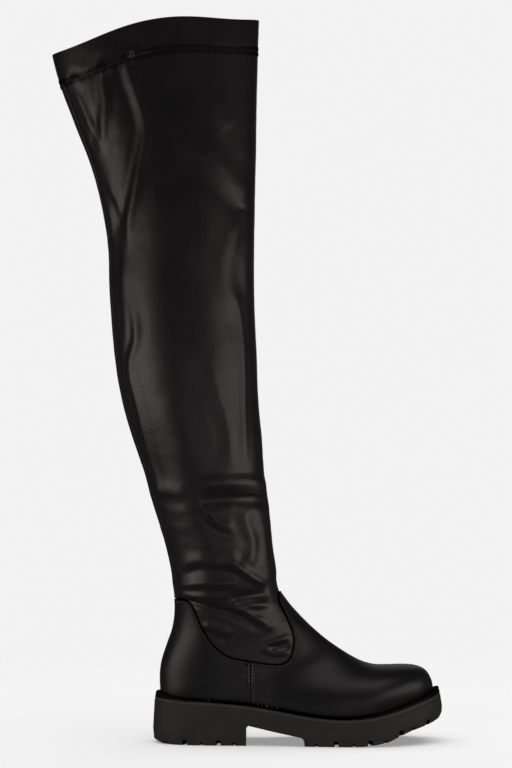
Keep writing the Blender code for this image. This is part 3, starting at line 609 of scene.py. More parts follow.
def soleRows(count, gap):
    # positions whose ends follow the sole closely round the heel and the toe
    ts = np.linspace(ankleRow, tipRow, 721)
    ends = np.array([formPoints(t, np.array([math.pi]))[0] for t in ts])
    above = ends[:, 2] - featherHeight(ends[:, 0])
    crossings = np.flatnonzero(above[:-1] * above[1:] < 0)
    shares = above[crossings] / (above[crossings] - above[crossings + 1])
    heel, toe = ts[crossings] + shares * (ts[1] - ts[0])
    fine = np.linspace(heel + 1e-4, toe - 1e-4, 900)
    ends = np.array([formPoints(t, np.array([openAngle(t)]))[0] for t in fine])
    along = lengthAlong(ends)
    share = np.linspace(0, 1, count + 1)
    eased = share - 0.5 * np.sin(2 * math.pi * share) / (2 * math.pi)
    under = np.interp(eased * along[-1], along, fine)
    under[[0, -1]] = heel, toe
    return [*evenRows(ankleRow, heel, gap)[1:-1], *under, *np.linspace(toe, tipRow, 7)[1:]]


class Skin:
    # rows of points on the form, with the way out of it at each
    def __init__(self, ts, columns):
        self.points, self.normals = [], []
        for t in ts:
            widest = openAngle(t)
            angles = widest * np.linspace(1, -1, columns + 1)
            points = formPoints(t, angles)
            self.normals.append(formNormals(t, angles, points))
            self.points.append(points)
        self.points, self.normals = np.array(self.points), np.array(self.normals)

    def moved(self, offsets):
        # the points moved out by offsets, and never under the sole's seat
        placed = self.points + self.normals * np.asarray(offsets)[..., None]
        placed[..., 2] = np.maximum(placed[..., 2], featherHeight(placed[..., 0]))
        return placed


def gridMesh(placed):
    # a grid of faces whose corners are put at the rows of points
    rows, columns = placed.shape[:2]
    bm = bmesh.new()
    bm.verts.layers.float_vector.new("ways")
    for name in ("inside", "panelGap", "seamGap", "soleGap"):
        bm.verts.layers.float.new(name)
    bmesh.ops.create_grid(bm, x_segments=columns - 1, y_segments=rows - 1, size=0.5)
    bm.verts.ensure_lookup_table()
    ordered = sorted(bm.verts, key=lambda v: (round((v.co.y + 0.5) * (rows - 1)), v.co.x))
    for vert, point in zip(ordered, placed.reshape(-1, 3)):
        vert.co = point
    return bm, ordered


# Creases: x and z in millimetres down the outer or inner side

# Each has its points, then lobes: distance above the line, height and width, in millimetres.
# Above means up for a line from left to right, and towards the toe for one drawn downwards.
# True: it runs on past its first point instead of fading out there.
creaseSet = {
    "outer": [
        # thigh: long soft rolls that hang from the band
        ([(-82, 706), (-77, 684), (-69, 645), (-60, 620), (-52, 594), (-51, 574), (-56, 546),
          (-63, 520), (-68, 490), (-66, 460)],
         [(0, 1.6, 5), (-9.5, -1.9, 6), (-21, -0.8, 8), (14, -0.5, 10)], True),
        ([(-105, 696), (-98, 668), (-93, 640), (-89, 608), (-92, 585), (-94, 560)],
         [(0, 1.3, 5), (-10, -0.9, 5.5), (9, -0.6, 6)], True),
        ([(-120, 628), (-111, 606), (-102, 586), (-96, 568)], [(0, 0.9, 3.5), (7, -1.0, 4)]),
        # short streaks in the band
        ([(-128, 668), (-124, 654), (-120, 640), (-116, 628)], [(0, 0.55, 3.2), (7, -0.45, 4)], True),
        ([(-101, 680), (-96, 664), (-92, 650), (-90, 634)], [(0, 0.6, 4.5), (9, -0.45, 4.5)], True),
        ([(-78, 690), (-75, 672), (-72, 656), (-70, 640)], [(0, 0.6, 3.5), (8, -0.4, 5)], True),
        # behind the knee
        ([(-96, 540), (-87, 522), (-79, 503), (-76, 486)], [(0, -1.3, 5)]),
        ([(-96, 528), (-88, 510), (-84, 494), (-87, 472)], [(0, 0.7, 4.5)]),
        ([(-84, 512), (-80, 488), (-78, 464), (-82, 436)], [(0, -0.9, 6)]),
        ([(-72, 470), (-76, 440), (-72, 408), (-74, 384)], [(-6, -0.7, 6), (4, 0.5, 7)]),
        # front of the thigh and knee
        ([(36, 516), (45, 512.5), (53, 507)], [(0, 0.8, 1.8), (-3.4, -1.2, 2.0)]),
        ([(-10, 572), (12, 546), (32, 525), (48, 511)], [(9, 1.0, 12), (-9, -1.0, 11)]),
        ([(10, 618), (20, 600), (30, 584)], [(0, 0.8, 10)]),
        ([(38, 508), (30, 482), (24, 457), (27, 432), (38, 405)], [(0, 1.3, 9), (17, -1.0, 10)]),
        ([(30, 440), (38, 410), (42, 372), (42, 330), (43, 290), (44, 256)],
         [(0, 1.1, 4.5), (-8, -0.7, 5)]),
        # calf
        ([(5, 372), (10, 350), (18, 326), (27, 303), (28, 278), (24, 258)],
         [(2, 1.0, 7), (-9, -0.9, 9)]),
        ([(-64, 440), (-62, 414), (-58, 386), (-68, 360), (-59, 328), (-51, 290), (-42, 255),
          (-33, 222)],
         [(-1, 1.2, 4.5), (-9, -0.6, 5), (7, -0.4, 6)]),
        ([(-36, 336), (-24, 318), (-14, 292), (-10, 262)], [(0, 0.7, 12)]),
        # fold over the ankle
        ([(-6, 236), (10, 237.5), (25, 239), (44, 239), (68, 234)],
         [(12, 2.2, 8.5), (-5, -2.4, 6.5)]),
        ([(-48, 238), (-28, 239), (-8, 237)], [(3, 0.9, 7), (-7, -0.7, 7)]),
        ([(4, 230), (11.5, 217.5), (22, 209.5), (36, 206)], [(0, 1.2, 4.5), (-9, -0.8, 6)]),
        ([(47, 228), (43, 214), (49, 201), (52, 188), (48, 174), (49, 164)],
         [(0, 1.2, 5), (10, -0.7, 6), (-10, -0.6, 7)]),
        ([(18, 184), (29, 181), (40, 177)], [(0, 0.7, 5), (-9, -0.5, 6)]),
        ([(26, 178), (40, 167), (52, 158.5), (64, 150)], [(0, 1.7, 3.8), (9, -0.5, 6)]),
        ([(27, 138), (40, 139.5), (52, 141), (67, 141)], [(1, -2.0, 5), (-8, 1.2, 4.5)]),
        ([(-20, 160), (-8, 165), (4, 168), (24, 165.5), (42, 160)], [(0, -1.3, 5), (9, 0.7, 7)]),
        ([(-23, 149), (-8.5, 152.5), (14.6, 155), (42, 152)], [(0, 1.2, 4)]),
        ([(-24, 144), (-7, 141.5), (8.5, 141), (26, 141)], [(0, 1.0, 3.4)]),
        # inside the dip of the side panel
        ([(-20, 139), (-6, 136), (14, 130), (34, 124.5), (52, 119)], [(0, -1.9, 3.2)]),
        ([(25, 138), (32, 132), (44, 126), (56, 119.5), (65, 113)],
         [(0, 1.4, 3.4), (-8, -1.1, 4.2)]),
        ([(52, 119), (62, 116), (72, 109)], [(0, 0.9, 5)]),
        ([(2, 115), (16, 110.5), (33, 105)], [(0, 1.3, 3.4), (-7, -0.8, 5)]),
        ([(57, 94), (67, 96.5), (79, 100), (87, 103)], [(0, 1.1, 3)]),
        ([(56, 94), (64, 90), (75, 86.5), (88, 88)], [(0, 1.1, 3)]),
        ([(66, 92), (76, 92.5), (86, 94.5)], [(0, -1.3, 3.2)]),
    ],
    "inner": [  # the same kinds of fold, not seen in the photograph
        ([(-80, 680), (-66, 630), (-52, 590), (-56, 540)], [(0, 1.6, 7), (-13, -1.5, 8)]),
        ([(-88, 528), (-80, 510), (-78, 488), (-84, 466)], [(0, -2.0, 4.5), (7, 1.1, 5)]),
        ([(36, 512), (28, 470), (26, 430), (38, 400)], [(0, 1.3, 8)]),
        ([(-60, 400), (-48, 350), (-30, 300)], [(0, 1.1, 8), (-14, -0.8, 8)]),
        ([(0, 240), (22, 243), (44, 241), (62, 235)],
         [(0, -2.2, 4.6), (-8, 1.4, 4.6), (8, 1.0, 6)]),
        ([(10, 222), (24, 212), (42, 206)], [(0, 1.3, 4), (-8, -0.8, 5)]),
        ([(-20, 168), (2, 172), (30, 166)], [(0, -1.6, 4.5), (-8, 1.3, 4)]),
        ([(20, 160), (42, 156), (64, 148)], [(0, 1.6, 3.2), (-7, -1.4, 4)]),
        ([(-8, 138), (14, 132), (38, 126), (58, 116)], [(0, -2.0, 3.6), (7, 1.4, 4)]),
        ([(8, 112), (28, 106), (50, 102)], [(0, 1.4, 3.6), (-7, -0.8, 5)]),
    ],
}


class Creases:
    # each crease as a line of points on the form, with the way out at each
    def __init__(self, skin):
        self.lines = []
        points, normals = skin.points.reshape(-1, 3), skin.normals.reshape(-1, 3)
        drawn = [(1, *crease) for crease in creaseSet["outer"]]
        drawn += [(-1, *crease) for crease in creaseSet["inner"]]
        for side, corners, lobes, *openEnd in drawn:
            flat = smoothLine([(x * mm, z * mm) for x, z in corners], 5)
            near = points[:, 1] * -side > -2 * mm
            chosen, ways = points[near], normals[near]
            nearest = [
                np.argmin((chosen[:, 0] - x) ** 2 + (chosen[:, 2] - z) ** 2) for x, z in flat
            ]
            line, out = chosen[nearest], ways[nearest]
            for _ in range(6):
                line[1:-1] = (line[:-2] + 2 * line[1:-1] + line[2:]) / 4
                out[1:-1] = (out[:-2] + 2 * out[1:-1] + out[2:]) / 4
            out /= np.linalg.norm(out, axis=1)[:, None]
            self.lines.append((line, out, side, lobes, bool(openEnd)))

    def heights(self, points):
        # how far each point rises or sinks
        total = np.zeros(len(points))
        for line, ways, side, lobes, openEnd in self.lines:
            reach = max(abs(off) + 3 * width for off, _, width in lobes) * mm
            low, high = line.min(0) - reach, line.max(0) + reach
            inside = np.flatnonzero(((points > low) & (points < high)).all(1))
            if len(inside) == 0:
                continue
            near = points[inside]
            best, k, f = nearestOn(near, line)
            run = (line[1:] - line[:-1])[k]
            length = np.linalg.norm(run, axis=1)
            gap = near - (line[k] + f[:, None] * run)
            up = np.cross(ways[k], run / length[:, None]) * side
            signed = np.sign((gap * up).sum(1)) * best
            along = lengthAlong(line)
            share = (along[k] + f * length) / along[-1]
            fade = np.clip((1 - share) / 0.22, 0, 1)
            if not openEnd:
                fade = fade * np.clip(share / 0.22, 0, 1)
            fade = fade * fade * (3 - 2 * fade)
            ends = np.exp(-np.clip(np.abs(best) / (reach * 0.55), 0, 5) ** 6)
            for off, height, width in lobes:
                rise = np.exp(-(((signed - off * mm) / (width * mm)) ** 2))
                total[inside] += height * mm * rise * fade * ends
        return total


def softUnevenness(points):
    # low, broad waves of stretched leather, stronger round the ankle
    heights = np.empty(len(points))
    for k, p in enumerate(points):
        where = Vector((p[0] * 26, p[1] * 26, p[2] * 17))
        small = Vector((p[0] * 60, p[1] * 60, p[2] * 95))
        heights[k] = 0.55 * noise.noise(where) + 0.22 * noise.noise(small)
    z = points[:, 2]
    ankle = np.exp(-(((z - 0.175) / 0.075) ** 2))
    above = np.clip((z - featherHeight(points[:, 0]) - 14 * mm) / (20 * mm), 0, 1)
    return heights * mm * (0.55 + 1.1 * ankle) * above


# Edge of vamp and counter round the stretch panel

panelSet = {
    # x as a share of the foot, height above the heel seat as a share of the instep
    "line": [
        (0.030, 0.868), (0.082, 0.869), (0.105, 0.839), (0.120, 0.791), (0.139, 0.686),
        (0.162, 0.588), (0.188, 0.505), (0.222, 0.438), (0.259, 0.396), (0.312, 0.372),
        (0.371, 0.351), (0.432, 0.338), (0.454, 0.351), (0.473, 0.388), (0.484, 0.455),
        (0.489, 0.538), (0.480, 0.629), (0.462, 0.721), (0.443, 0.804), (0.432, 0.858),
        (0.432, 0.910), (0.438, 0.967),
    ],
    "seam": 0.0487, "wall": 1.4 * mm, "edgeRound": 1.3 * mm, "groove": 0.28 * mm,
    "stitchIn": 2.7 * mm, "stitch": {"pitch": 2.9 * mm, "long": 1.5 * mm, "thick": 0.6 * mm},
    "columnIn": 3.4 * mm,
}
panelCorners = [(footX(x), formSet["heelSeat"] + z * formSet["instepRise"]) for x, z in panelSet["line"]]
panelLine = smoothLine(panelCorners, 4)
panelLong = np.vstack([[-0.4, panelLine[0, 1]], panelLine, [0.6, panelLine[-1, 1]]])


def panelDistance(points, normals):
    # how far outside the stretch panel a point lies, measured on the surface
    flat = points[:, [0, 2]]
    best, k, _ = nearestOn(flat, panelLong)
    run = (panelLong[1:] - panelLong[:-1])[k]
    across = np.stack([-run[:, 1], run[:, 0]], axis=1) / np.linalg.norm(run, axis=1)[:, None]
    above = np.zeros(len(flat), bool)
    closed = np.vstack([panelLong, [0.6, 2.0], [-0.4, 2.0]])
    for (x1, z1), (x2, z2) in zip(closed, np.roll(closed, -1, axis=0)):
        crosses = (z1 > flat[:, 1]) != (z2 > flat[:, 1])
        at = x1 + (flat[:, 1] - z1) / np.where(z2 == z1, 1, z2 - z1) * (x2 - x1)
        above ^= crosses & (flat[:, 0] < at)
    slope = across[:, 0] * normals[:, 0] + across[:, 1] * normals[:, 2]
    true = best / np.sqrt(np.maximum(1 - slope**2, 0.09))
    return np.where(above, -true, true)


# Helpers for pieces

def finishPiece(name, bm, materials, replaces=(), angle=None):
    mesh = bpy.data.meshes.new(name)
    bm.to_mesh(mesh)
    bm.free()
    mesh.shade_smooth()
    if angle:
        mesh.set_sharp_from_angle(angle=math.radians(angle))
    for material in materials:
        mesh.materials.append(material)
    obj = bpy.data.objects.new(name, mesh)
    bpy.context.scene.collection.objects.link(obj)
    if replaces:
        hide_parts(*replaces)
    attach(obj, "root")
    return obj


def cutAlong(bm, values, level):
    # cuts the faces where values, one a vertex and kept up to date, pass the level
    layer = bm.verts.layers.float[values]
    others = [bm.verts.layers.float[k] for k in bm.verts.layers.float.keys()]
    for edge in bm.edges:
        a, b = edge.verts
        va, vb = a[layer] - level, b[layer] - level
        if va * vb < 0:
            share = va / (va - vb)
            near = a if share < 0.25 else b if share > 0.75 else None
            if near is not None and not near.tag and not near.is_boundary:
                near.co = a.co.lerp(b.co, share)
                for other in others:
                    near[other] = a[other] + (b[other] - a[other]) * share
                near[layer] = level
                near.tag = True
    crossing = [e for e in bm.edges if (e.verts[0][layer] - level) * (e.verts[1][layer] - level) < 0]
    for edge in crossing:
        a, b = edge.verts
        share = (a[layer] - level) / (a[layer] - b[layer])
        _, made = bmesh.utils.edge_split(edge, a, share)
        made[layer] = level
        made.tag = True
    onLine = [v for v in bm.verts if v.tag or abs(v[layer] - level) < 1e-9]
    bmesh.ops.connect_verts(bm, verts=onLine)
    for v in bm.verts:
        v.tag = False


def treeOf(*pieces):
    corners, faces = [], []
    for piece in pieces:
        first = len(corners)
        corners += [tuple(v.co) for v in piece.data.vertices]
        faces += [[first + k for k in face.vertices] for face in piece.data.polygons]
    return BVHTree.FromPolygons(corners, faces)


def castLine(tree, starts, ways):
    # where rays meet the pieces, with the way out at each
    line, outs = [], []
    for start, way in zip(starts, ways):
        hit, normal, _, _ = tree.ray_cast(Vector(start), Vector(way).normalized())
        if hit is not None:
            line.append(tuple(hit))
            outs.append(tuple(normal if normal.dot(Vector(way)) < 0 else -normal))
    return line, outs


def addStitch(bm, centre, run, thick, long):
    turn = run.to_track_quat("Z", "Y").to_matrix().to_4x4()
    made = bmesh.ops.create_uvsphere(bm, u_segments=6, v_segments=4, radius=0.5)["verts"]
    bmesh.ops.scale(bm, verts=made, vec=(thick, thick, long))
    bmesh.ops.transform(bm, verts=made, matrix=Matrix.Translation(centre) @ turn)


def addStitches(bm, line, outs, stitch):
    # stitches along a line of points, half sunk in what carries them
    if len(line) < 3:
        return
    line, outs = np.array(line), np.array(outs)
    along = lengthAlong(line)
    count = max(int(along[-1] / stitch["pitch"]), 1)
    for k in range(count):
        middle = (k + 0.5) * along[-1] / count
        start, end = (pointAt(middle + side * stitch["long"], along, line) for side in (-0.5, 0.5))
        out = pointAt(middle, along, outs).normalized()
        centre = (start + end) / 2 + out * stitch["thick"] * 0.1
        addStitch(bm, centre, end - start, stitch["thick"], (end - start).length * 1.08)


# Leg and foot

shaftSet = {
    "columns": 204, "rowGap": 2.7 * mm, "fineGap": 1.45 * mm, "fineFrom": 13,
    "soleCount": 84, "wall": 1.2 * mm, "recess": 1.2 * mm, "liningGap": 18 * mm,
    "liningIn": 1.0 * mm, "liningClear": 1.3 * mm,
}

legTs = evenRows(cuffRow, shaftSet["fineFrom"], shaftSet["rowGap"])[:-1]
legTs += evenRows(shaftSet["fineFrom"], ankleRow, shaftSet["fineGap"])
wholeTs = legTs + soleRows(shaftSet["soleCount"], shaftSet["fineGap"])
skin = Skin(wholeTs, shaftSet["columns"])
creases = Creases(skin)


def creased(points):
    # rise of creases and unevenness, fading out at the sole
    heights = creases.heights(points) + softUnevenness(points)
    low = np.clip((points[:, 2] - featherHeight(points[:, 0]) - 8 * mm) / (12 * mm), 0, 1)
    return heights * low


flatPoints, flatNormals = skin.points.reshape(-1, 3), skin.normals.reshape(-1, 3)
panelDepths = panelDistance(flatPoints, flatNormals)
held = np.clip(1 - (panelDepths + 3 * mm) / (5 * mm), 0, 1)  # creases die out under vamp and counter
skinHeights = (creased(flatPoints) * held).reshape(skin.points.shape[:2])
skinHeights[:, -1] = skinHeights[:, 0]
print("form lofted:", len(wholeTs), "rows, creases", len(creases.lines))


def makeUpper():
    # one long grid: toe to band outside, over the hem, and down the lining
    outer = skin.moved(skinHeights)[::-1]
    hemTs = list(np.linspace(cuffRow, 0.02, 12))
    hem = Skin(hemTs, shaftSet["columns"])
    hemOut = hem.moved(np.full(hem.points.shape[:2], -shaftSet["recess"]))
    hemDepth = -shaftSet["recess"] - shaftSet["liningIn"]
    hemIn = hem.moved(np.full(hem.points.shape[:2], hemDepth))[::-1]
    liningTs = evenRows(cuffRow, ankleRow, shaftSet["liningGap"])[1:] + soleRows(18, 10 * mm)
    lining = Skin(liningTs, shaftSet["columns"])
    # the lining hangs a little clear of the folds in the leg
    rows = np.array(liningTs)
    clear = np.clip(rows - cuffRow, 0, 1) * np.clip((ankleRow + 3 - rows) / 2, 0, 1)
    depth = -shaftSet["wall"] - (shaftSet["liningIn"] + shaftSet["liningClear"] * clear)
    inner = lining.moved(np.repeat(depth[:, None], lining.points.shape[1], axis=1))
    placed = np.concatenate([outer, hemOut, hemIn, inner])
    bm, ordered = gridMesh(placed)
    outerRows = len(outer) + len(hemOut)
    columns = placed.shape[1]
    liningStart = outerRows * columns
    order = {v: k for k, v in enumerate(ordered)}
    for face in bm.faces:
        if min(order[v] for v in face.verts) >= liningStart - columns:
            face.material_index = 1
    # painted shade: distance from the edge of vamp and counter, for the black band in the shadow under that
    # edge
    panelGap = bm.verts.layers.float["panelGap"]
    depths = panelDepths.reshape(skin.points.shape[:2])[::-1].ravel()
    for vert, depth in zip(ordered, depths):
        vert[panelGap] = 20 + min(max(depth / mm, -15), 15)
    bmesh.ops.remove_doubles(bm, verts=bm.verts, dist=0.02 * mm)
    edges = [e for e in bm.edges if e.is_boundary]
    bmesh.ops.bridge_loops(bm, edges=edges)
    bmesh.ops.recalc_face_normals(bm, faces=bm.faces)
    leathers = [stretchLeather, liningCloth]
    return finishPiece("upper_skin", bm, leathers, ["upper"], angle=50)


def triangles(piece):
    return sum(len(face.vertices) - 2 for face in piece.data.polygons)


upperPiece = makeUpper()
print("upper made:", triangles(upperPiece), "triangles")


# Vamp and counter

shellSet = {
    "columns": 176, "rowGap": 1.9 * mm, "soleCount": 120, "lift": 0.3 * mm, "innerLift": 0.25 * mm,
    "puff": 0.12 * mm, "bottomRound": 1.2 * mm,
}


def makeOverlay(name, node, ahead):
    ts = evenRows(ankleRow - 0.7, ankleRow, shellSet["rowGap"])
    ts += soleRows(shellSet["soleCount"], shellSet["rowGap"])
    local = Skin(ts, shellSet["columns"])
    bm, ordered = gridMesh(local.points)
    ways = bm.verts.layers.float_vector["ways"]
    inside = bm.verts.layers.float["inside"]
    points, normals = local.points.reshape(-1, 3), local.normals.reshape(-1, 3)
    panel = panelDistance(points, normals)
    seam = (points[:, 0] - panelSet["seam"]) * (1 if ahead else -1) - 0.1 * mm
    seam = seam / np.sqrt(np.maximum(1 - normals[:, 0] ** 2, 0.09))
    depth = np.minimum(panel, seam)
    # distances for painted shade: the shadow along the panel edge, in the stitch groove, along the side
    # seam and in the gap over the sole
    panelGap, seamGap, soleGap = (bm.verts.layers.float[k] for k in ("panelGap", "seamGap", "soleGap"))
    for vert, way, value, first, second in zip(ordered, normals, depth, panel, seam):
        vert[ways] = Vector(way)
        vert[inside] = value
        vert[panelGap], vert[seamGap] = 20 + first / mm, 20 + second / mm
    bmesh.ops.remove_doubles(bm, verts=bm.verts, dist=0.02 * mm)
    bmesh.ops.dissolve_degenerate(bm, edges=bm.edges, dist=0.02 * mm)
    edge = panelSet["edgeRound"]
    cutAlong(bm, "inside", 0.0)
    outside = [f for f in bm.faces if sum(v[inside] for v in f.verts) / len(f.verts) < 1e-9]
    bmesh.ops.delete(bm, geom=outside, context="FACES")
    for level in (0.08 * edge, 0.3 * edge, 0.65 * edge, edge, panelSet["stitchIn"]):
        cutAlong(bm, "inside", level)
    loose = [v for v in bm.verts if not v.link_faces]
    bmesh.ops.delete(bm, geom=loose, context="VERTS")
    outerFaces = list(bm.faces)
    copied = bmesh.ops.duplicate(bm, geom=outerFaces)
    innerFaces = [g for g in copied["geom"] if isinstance(g, bmesh.types.BMFace)]
    innerVerts = {v for f in innerFaces for v in f.verts}
    bmesh.ops.reverse_faces(bm, faces=innerFaces)
    for v in bm.verts:
        d = v[inside]
        way = v[ways].normalized()
        bottom = clamp((v.co.z - float(featherHeight(v.co.x))) / shellSet["bottomRound"])
        share = clamp(d / edge)
        rounding = math.sqrt(max(1 - (1 - share) ** 2, 0)) * math.sqrt(bottom * (2 - bottom))
        if v in innerVerts:
            lift = shellSet["innerLift"] * min(rounding * 2, 1)
        else:
            groove = panelSet["groove"] * math.exp(-(((d - panelSet["stitchIn"]) / (0.6 * mm)) ** 2))
            puff = shellSet["puff"] * math.exp(-(((d - 1.5 * mm) / (0.9 * mm)) ** 2))
            lift = (shellSet["lift"] + panelSet["wall"]) * rounding - (groove - puff) * rounding
        v.co += way * lift
        v.co.z = max(v.co.z, float(featherHeight(v.co.x)))
        v[soleGap] = 20 + (v.co.z - float(featherHeight(v.co.x))) / mm
    bmesh.ops.remove_doubles(bm, verts=bm.verts, dist=0.015 * mm)
    bmesh.ops.recalc_face_normals(bm, faces=bm.faces)
    return finishPiece(name, bm, [overlayLeather], [node], angle=60)


vampPiece = makeOverlay("vamp_shell", "vamp", True)
counterPiece = makeOverlay("counter_shell", "counter", False)
print("vamp and counter made:", len(vampPiece.data.polygons), len(counterPiece.data.polygons))


shellTree = treeOf(vampPiece, counterPiece)
tackSet = {
    "places": (-1.7 * mm, 1.9 * mm), "low": 0.0595, "high": 0.0775,
    "stitch": {"pitch": 2.6 * mm, "long": 1.1 * mm, "thick": 0.65 * mm},
}
speckSet = {
    "size": 0.45 * mm, "shape": (1.3, 0.5, 0.7),
    # x, height over the sole's seat, size
    "places": [
        (4, 5.6, 0.7), (8.5, 6.1, 1.1), (33, 5.8, 0.6), (56, 6.6, 0.9),
        (59.5, 6.0, 0.7), (64, 6.7, 1.2), (69, 6.2, 0.8), (74, 6.8, 0.9),
    ],
}


def onShells(flat, turn):
    # points of the side view, put on vamp and counter; turn is 1 for the outer side
    starts = [(x, -0.3 * turn, z) for x, z in flat]
    return castLine(shellTree, starts, [(0, turn, 0)] * len(starts))


def makePanelStitches():
    # one row round the edge of the panel, and one beside each side seam
    bm = bmesh.new()
    inset, seam, stitch = panelSet["stitchIn"], panelSet["seam"], panelSet["stitch"]
    edge = panelLine[(panelLine[:, 0] > -22 * mm)]
    way = np.gradient(edge, axis=0)
    way /= np.linalg.norm(way, axis=1)[:, None]
    away = np.stack([way[:, 1], -way[:, 0]], axis=1)
    flat = edge + away * inset * 0.97
    keep = (np.abs(flat[:, 0] - seam) > 2.2 * mm) & (flat[:, 1] < panelLine[-1, 1] - inset)
    low, high = float(featherHeight(seam)) + 9 * mm, panelLine[:, 1].min() - inset - 2 * mm
    column = [(seam + panelSet["columnIn"], z) for z in np.linspace(low, high, 30)]
    for turn in (1, -1):
        for part in (flat[keep & (flat[:, 0] < seam)], flat[keep & (flat[:, 0] > seam)], column):
            addStitches(bm, *onShells(part, turn), stitch)
    for middle, height in ((180, panelLine[0, 1] - inset), (0, panelLine[-1, 1] - inset)):
        turns = np.radians(np.linspace(middle - 56, middle + 56, 60))
        ways = [(math.cos(a), math.sin(a), 0) for a in turns]
        starts = [(0.012 + 0.3 * x, 0.3 * y, height) for x, y, _ in ways]
        line, outs = castLine(shellTree, starts, [(-x, -y, 0) for x, y, _ in ways])
        addStitches(bm, line, outs, stitch)
    return finishPiece("panel_stitches", bm, [highlitThread])


def makeSeamTack():
    # short paler double row at the top of each side seam
    bm = bmesh.new()
    heights = np.linspace(tackSet["low"], tackSet["high"], 14)
    for turn in (1, -1):
        for off in tackSet["places"]:
            column = [(panelSet["seam"] + off, z) for z in heights]
            addStitches(bm, *onShells(column, turn), tackSet["stitch"])
    return finishPiece("seam_stitches", bm, [palerThread])


def makeSpecks():
    # a few pale specks in the gap above the sole, on the outer side: painted glints of light
    bm = bmesh.new()
    flat = [(x * mm, float(featherHeight(x * mm)) + z * mm) for x, z, _ in speckSet["places"]]
    for centre, (_, _, size) in zip(onShells(flat, 1)[0], speckSet["places"]):
        made = bmesh.ops.create_icosphere(bm, subdivisions=1, radius=size * speckSet["size"])["verts"]
        bmesh.ops.scale(bm, verts=made, vec=speckSet["shape"])
        bmesh.ops.translate(bm, verts=made, vec=centre)
    return finishPiece("dust_specks", bm, [speckGlint])


makePanelStitches()
makeSeamTack()
makeSpecks()
print("stitches of the panels made")


# Band at the top

cuffSet = {
    "wall": 0.9 * mm, "rows": 16, "seamAt": 17 * mm,
    "zigRows": ((0.925, -0.05 * mm), (1.062, 0.15 * mm)),  # row and lift of each line of stitches
    "zigPitch": 2.95 * mm, "zigTall": 4.7 * mm, "zigLean": 1.7 * mm, "zigThick": 1.15 * mm,
}


def makeCuff():
    ts = list(np.linspace(0.996, 0.0, cuffSet["rows"]))
    band = Skin(ts, shaftSet["columns"])
    rise = band.points[-1] - band.points[-2]
    rise /= np.linalg.norm(rise, axis=1)[:, None]
    points, normals = band.points.reshape(-1, 3), band.normals.reshape(-1, 3)
    waves = creased(points).reshape(band.points.shape[:2])
    waves[:, -1] = waves[:, 0]
    pinch = np.exp(-(((np.array(ts) - 0.93) / 0.05) ** 2)) + np.exp(-(((np.array(ts) - 1.06) / 0.05) ** 2))
    outer = band.moved(waves - 0.25 * mm * pinch[:, None])
    inner = band.moved(waves - cuffSet["wall"])[::-1]
    roll = []
    for angle in np.radians([30, 60, 90, 120, 150]):
        off = -cuffSet["wall"] / 2 + cuffSet["wall"] / 2 * math.cos(angle)
        roll.append(
            band.points[-1]
            + band.normals[-1] * (waves[-1] + off)[:, None]
            + rise * 0.5 * mm * math.sin(angle)
        )
    placed = np.concatenate([outer, np.array(roll), inner, outer[:1]])
    bm, ordered = gridMesh(placed)
    # painted shade: distance from the back seam, for the dark lines along it
    seamGap = bm.verts.layers.float["seamGap"]
    around = lengthAlong(band.points[len(ts) // 2])
    fromBack = np.minimum(around, 1.0)
    for k, vert in enumerate(ordered):
        vert[seamGap] = min(20 + (cuffSet["seamAt"] - fromBack[k % len(around)]) / mm, 40)
    bmesh.ops.remove_doubles(bm, verts=bm.verts, dist=0.01 * mm)
    bmesh.ops.recalc_face_normals(bm, faces=bm.faces)
    return finishPiece("cuff_band", bm, [stretchLeather], ["cuff"], angle=50)


def makeZigzag():
    # two rows of slanted stitches that hold the turned band
    bm = bmesh.new()
    angles = np.linspace(math.pi, -math.pi, 361)
    for t, lift in cuffSet["zigRows"]:
        points = formPoints(t, angles)
        normals = formNormals(t, angles, points)
        line = points + normals * (creased(points) + lift)[:, None]
        along = lengthAlong(line)
        count = int(along[-1] / cuffSet["zigPitch"])
        rise = formPoints(t - 0.02, angles) - points
        rise /= np.linalg.norm(rise, axis=1)[:, None]
        for k in range(count):
            middle = (k + 0.5) * along[-1] / count
            centre, out, up = (pointAt(middle, along, values) for values in (line, normals, rise))
            dash = up * cuffSet["zigTall"] - up.cross(out).normalized() * cuffSet["zigLean"]
            addStitch(bm, centre, dash, cuffSet["zigThick"], dash.length)
    return finishPiece("band_stitches", bm, [blackThread])


cuffPiece = makeCuff()
makeZigzag()
print("cuff made:", len(cuffPiece.data.polygons), "faces")


# Strip over the back seam

staySet = {"width": 9 * mm, "drift": 15 * mm, "thick": 0.9 * mm, "columns": 14}


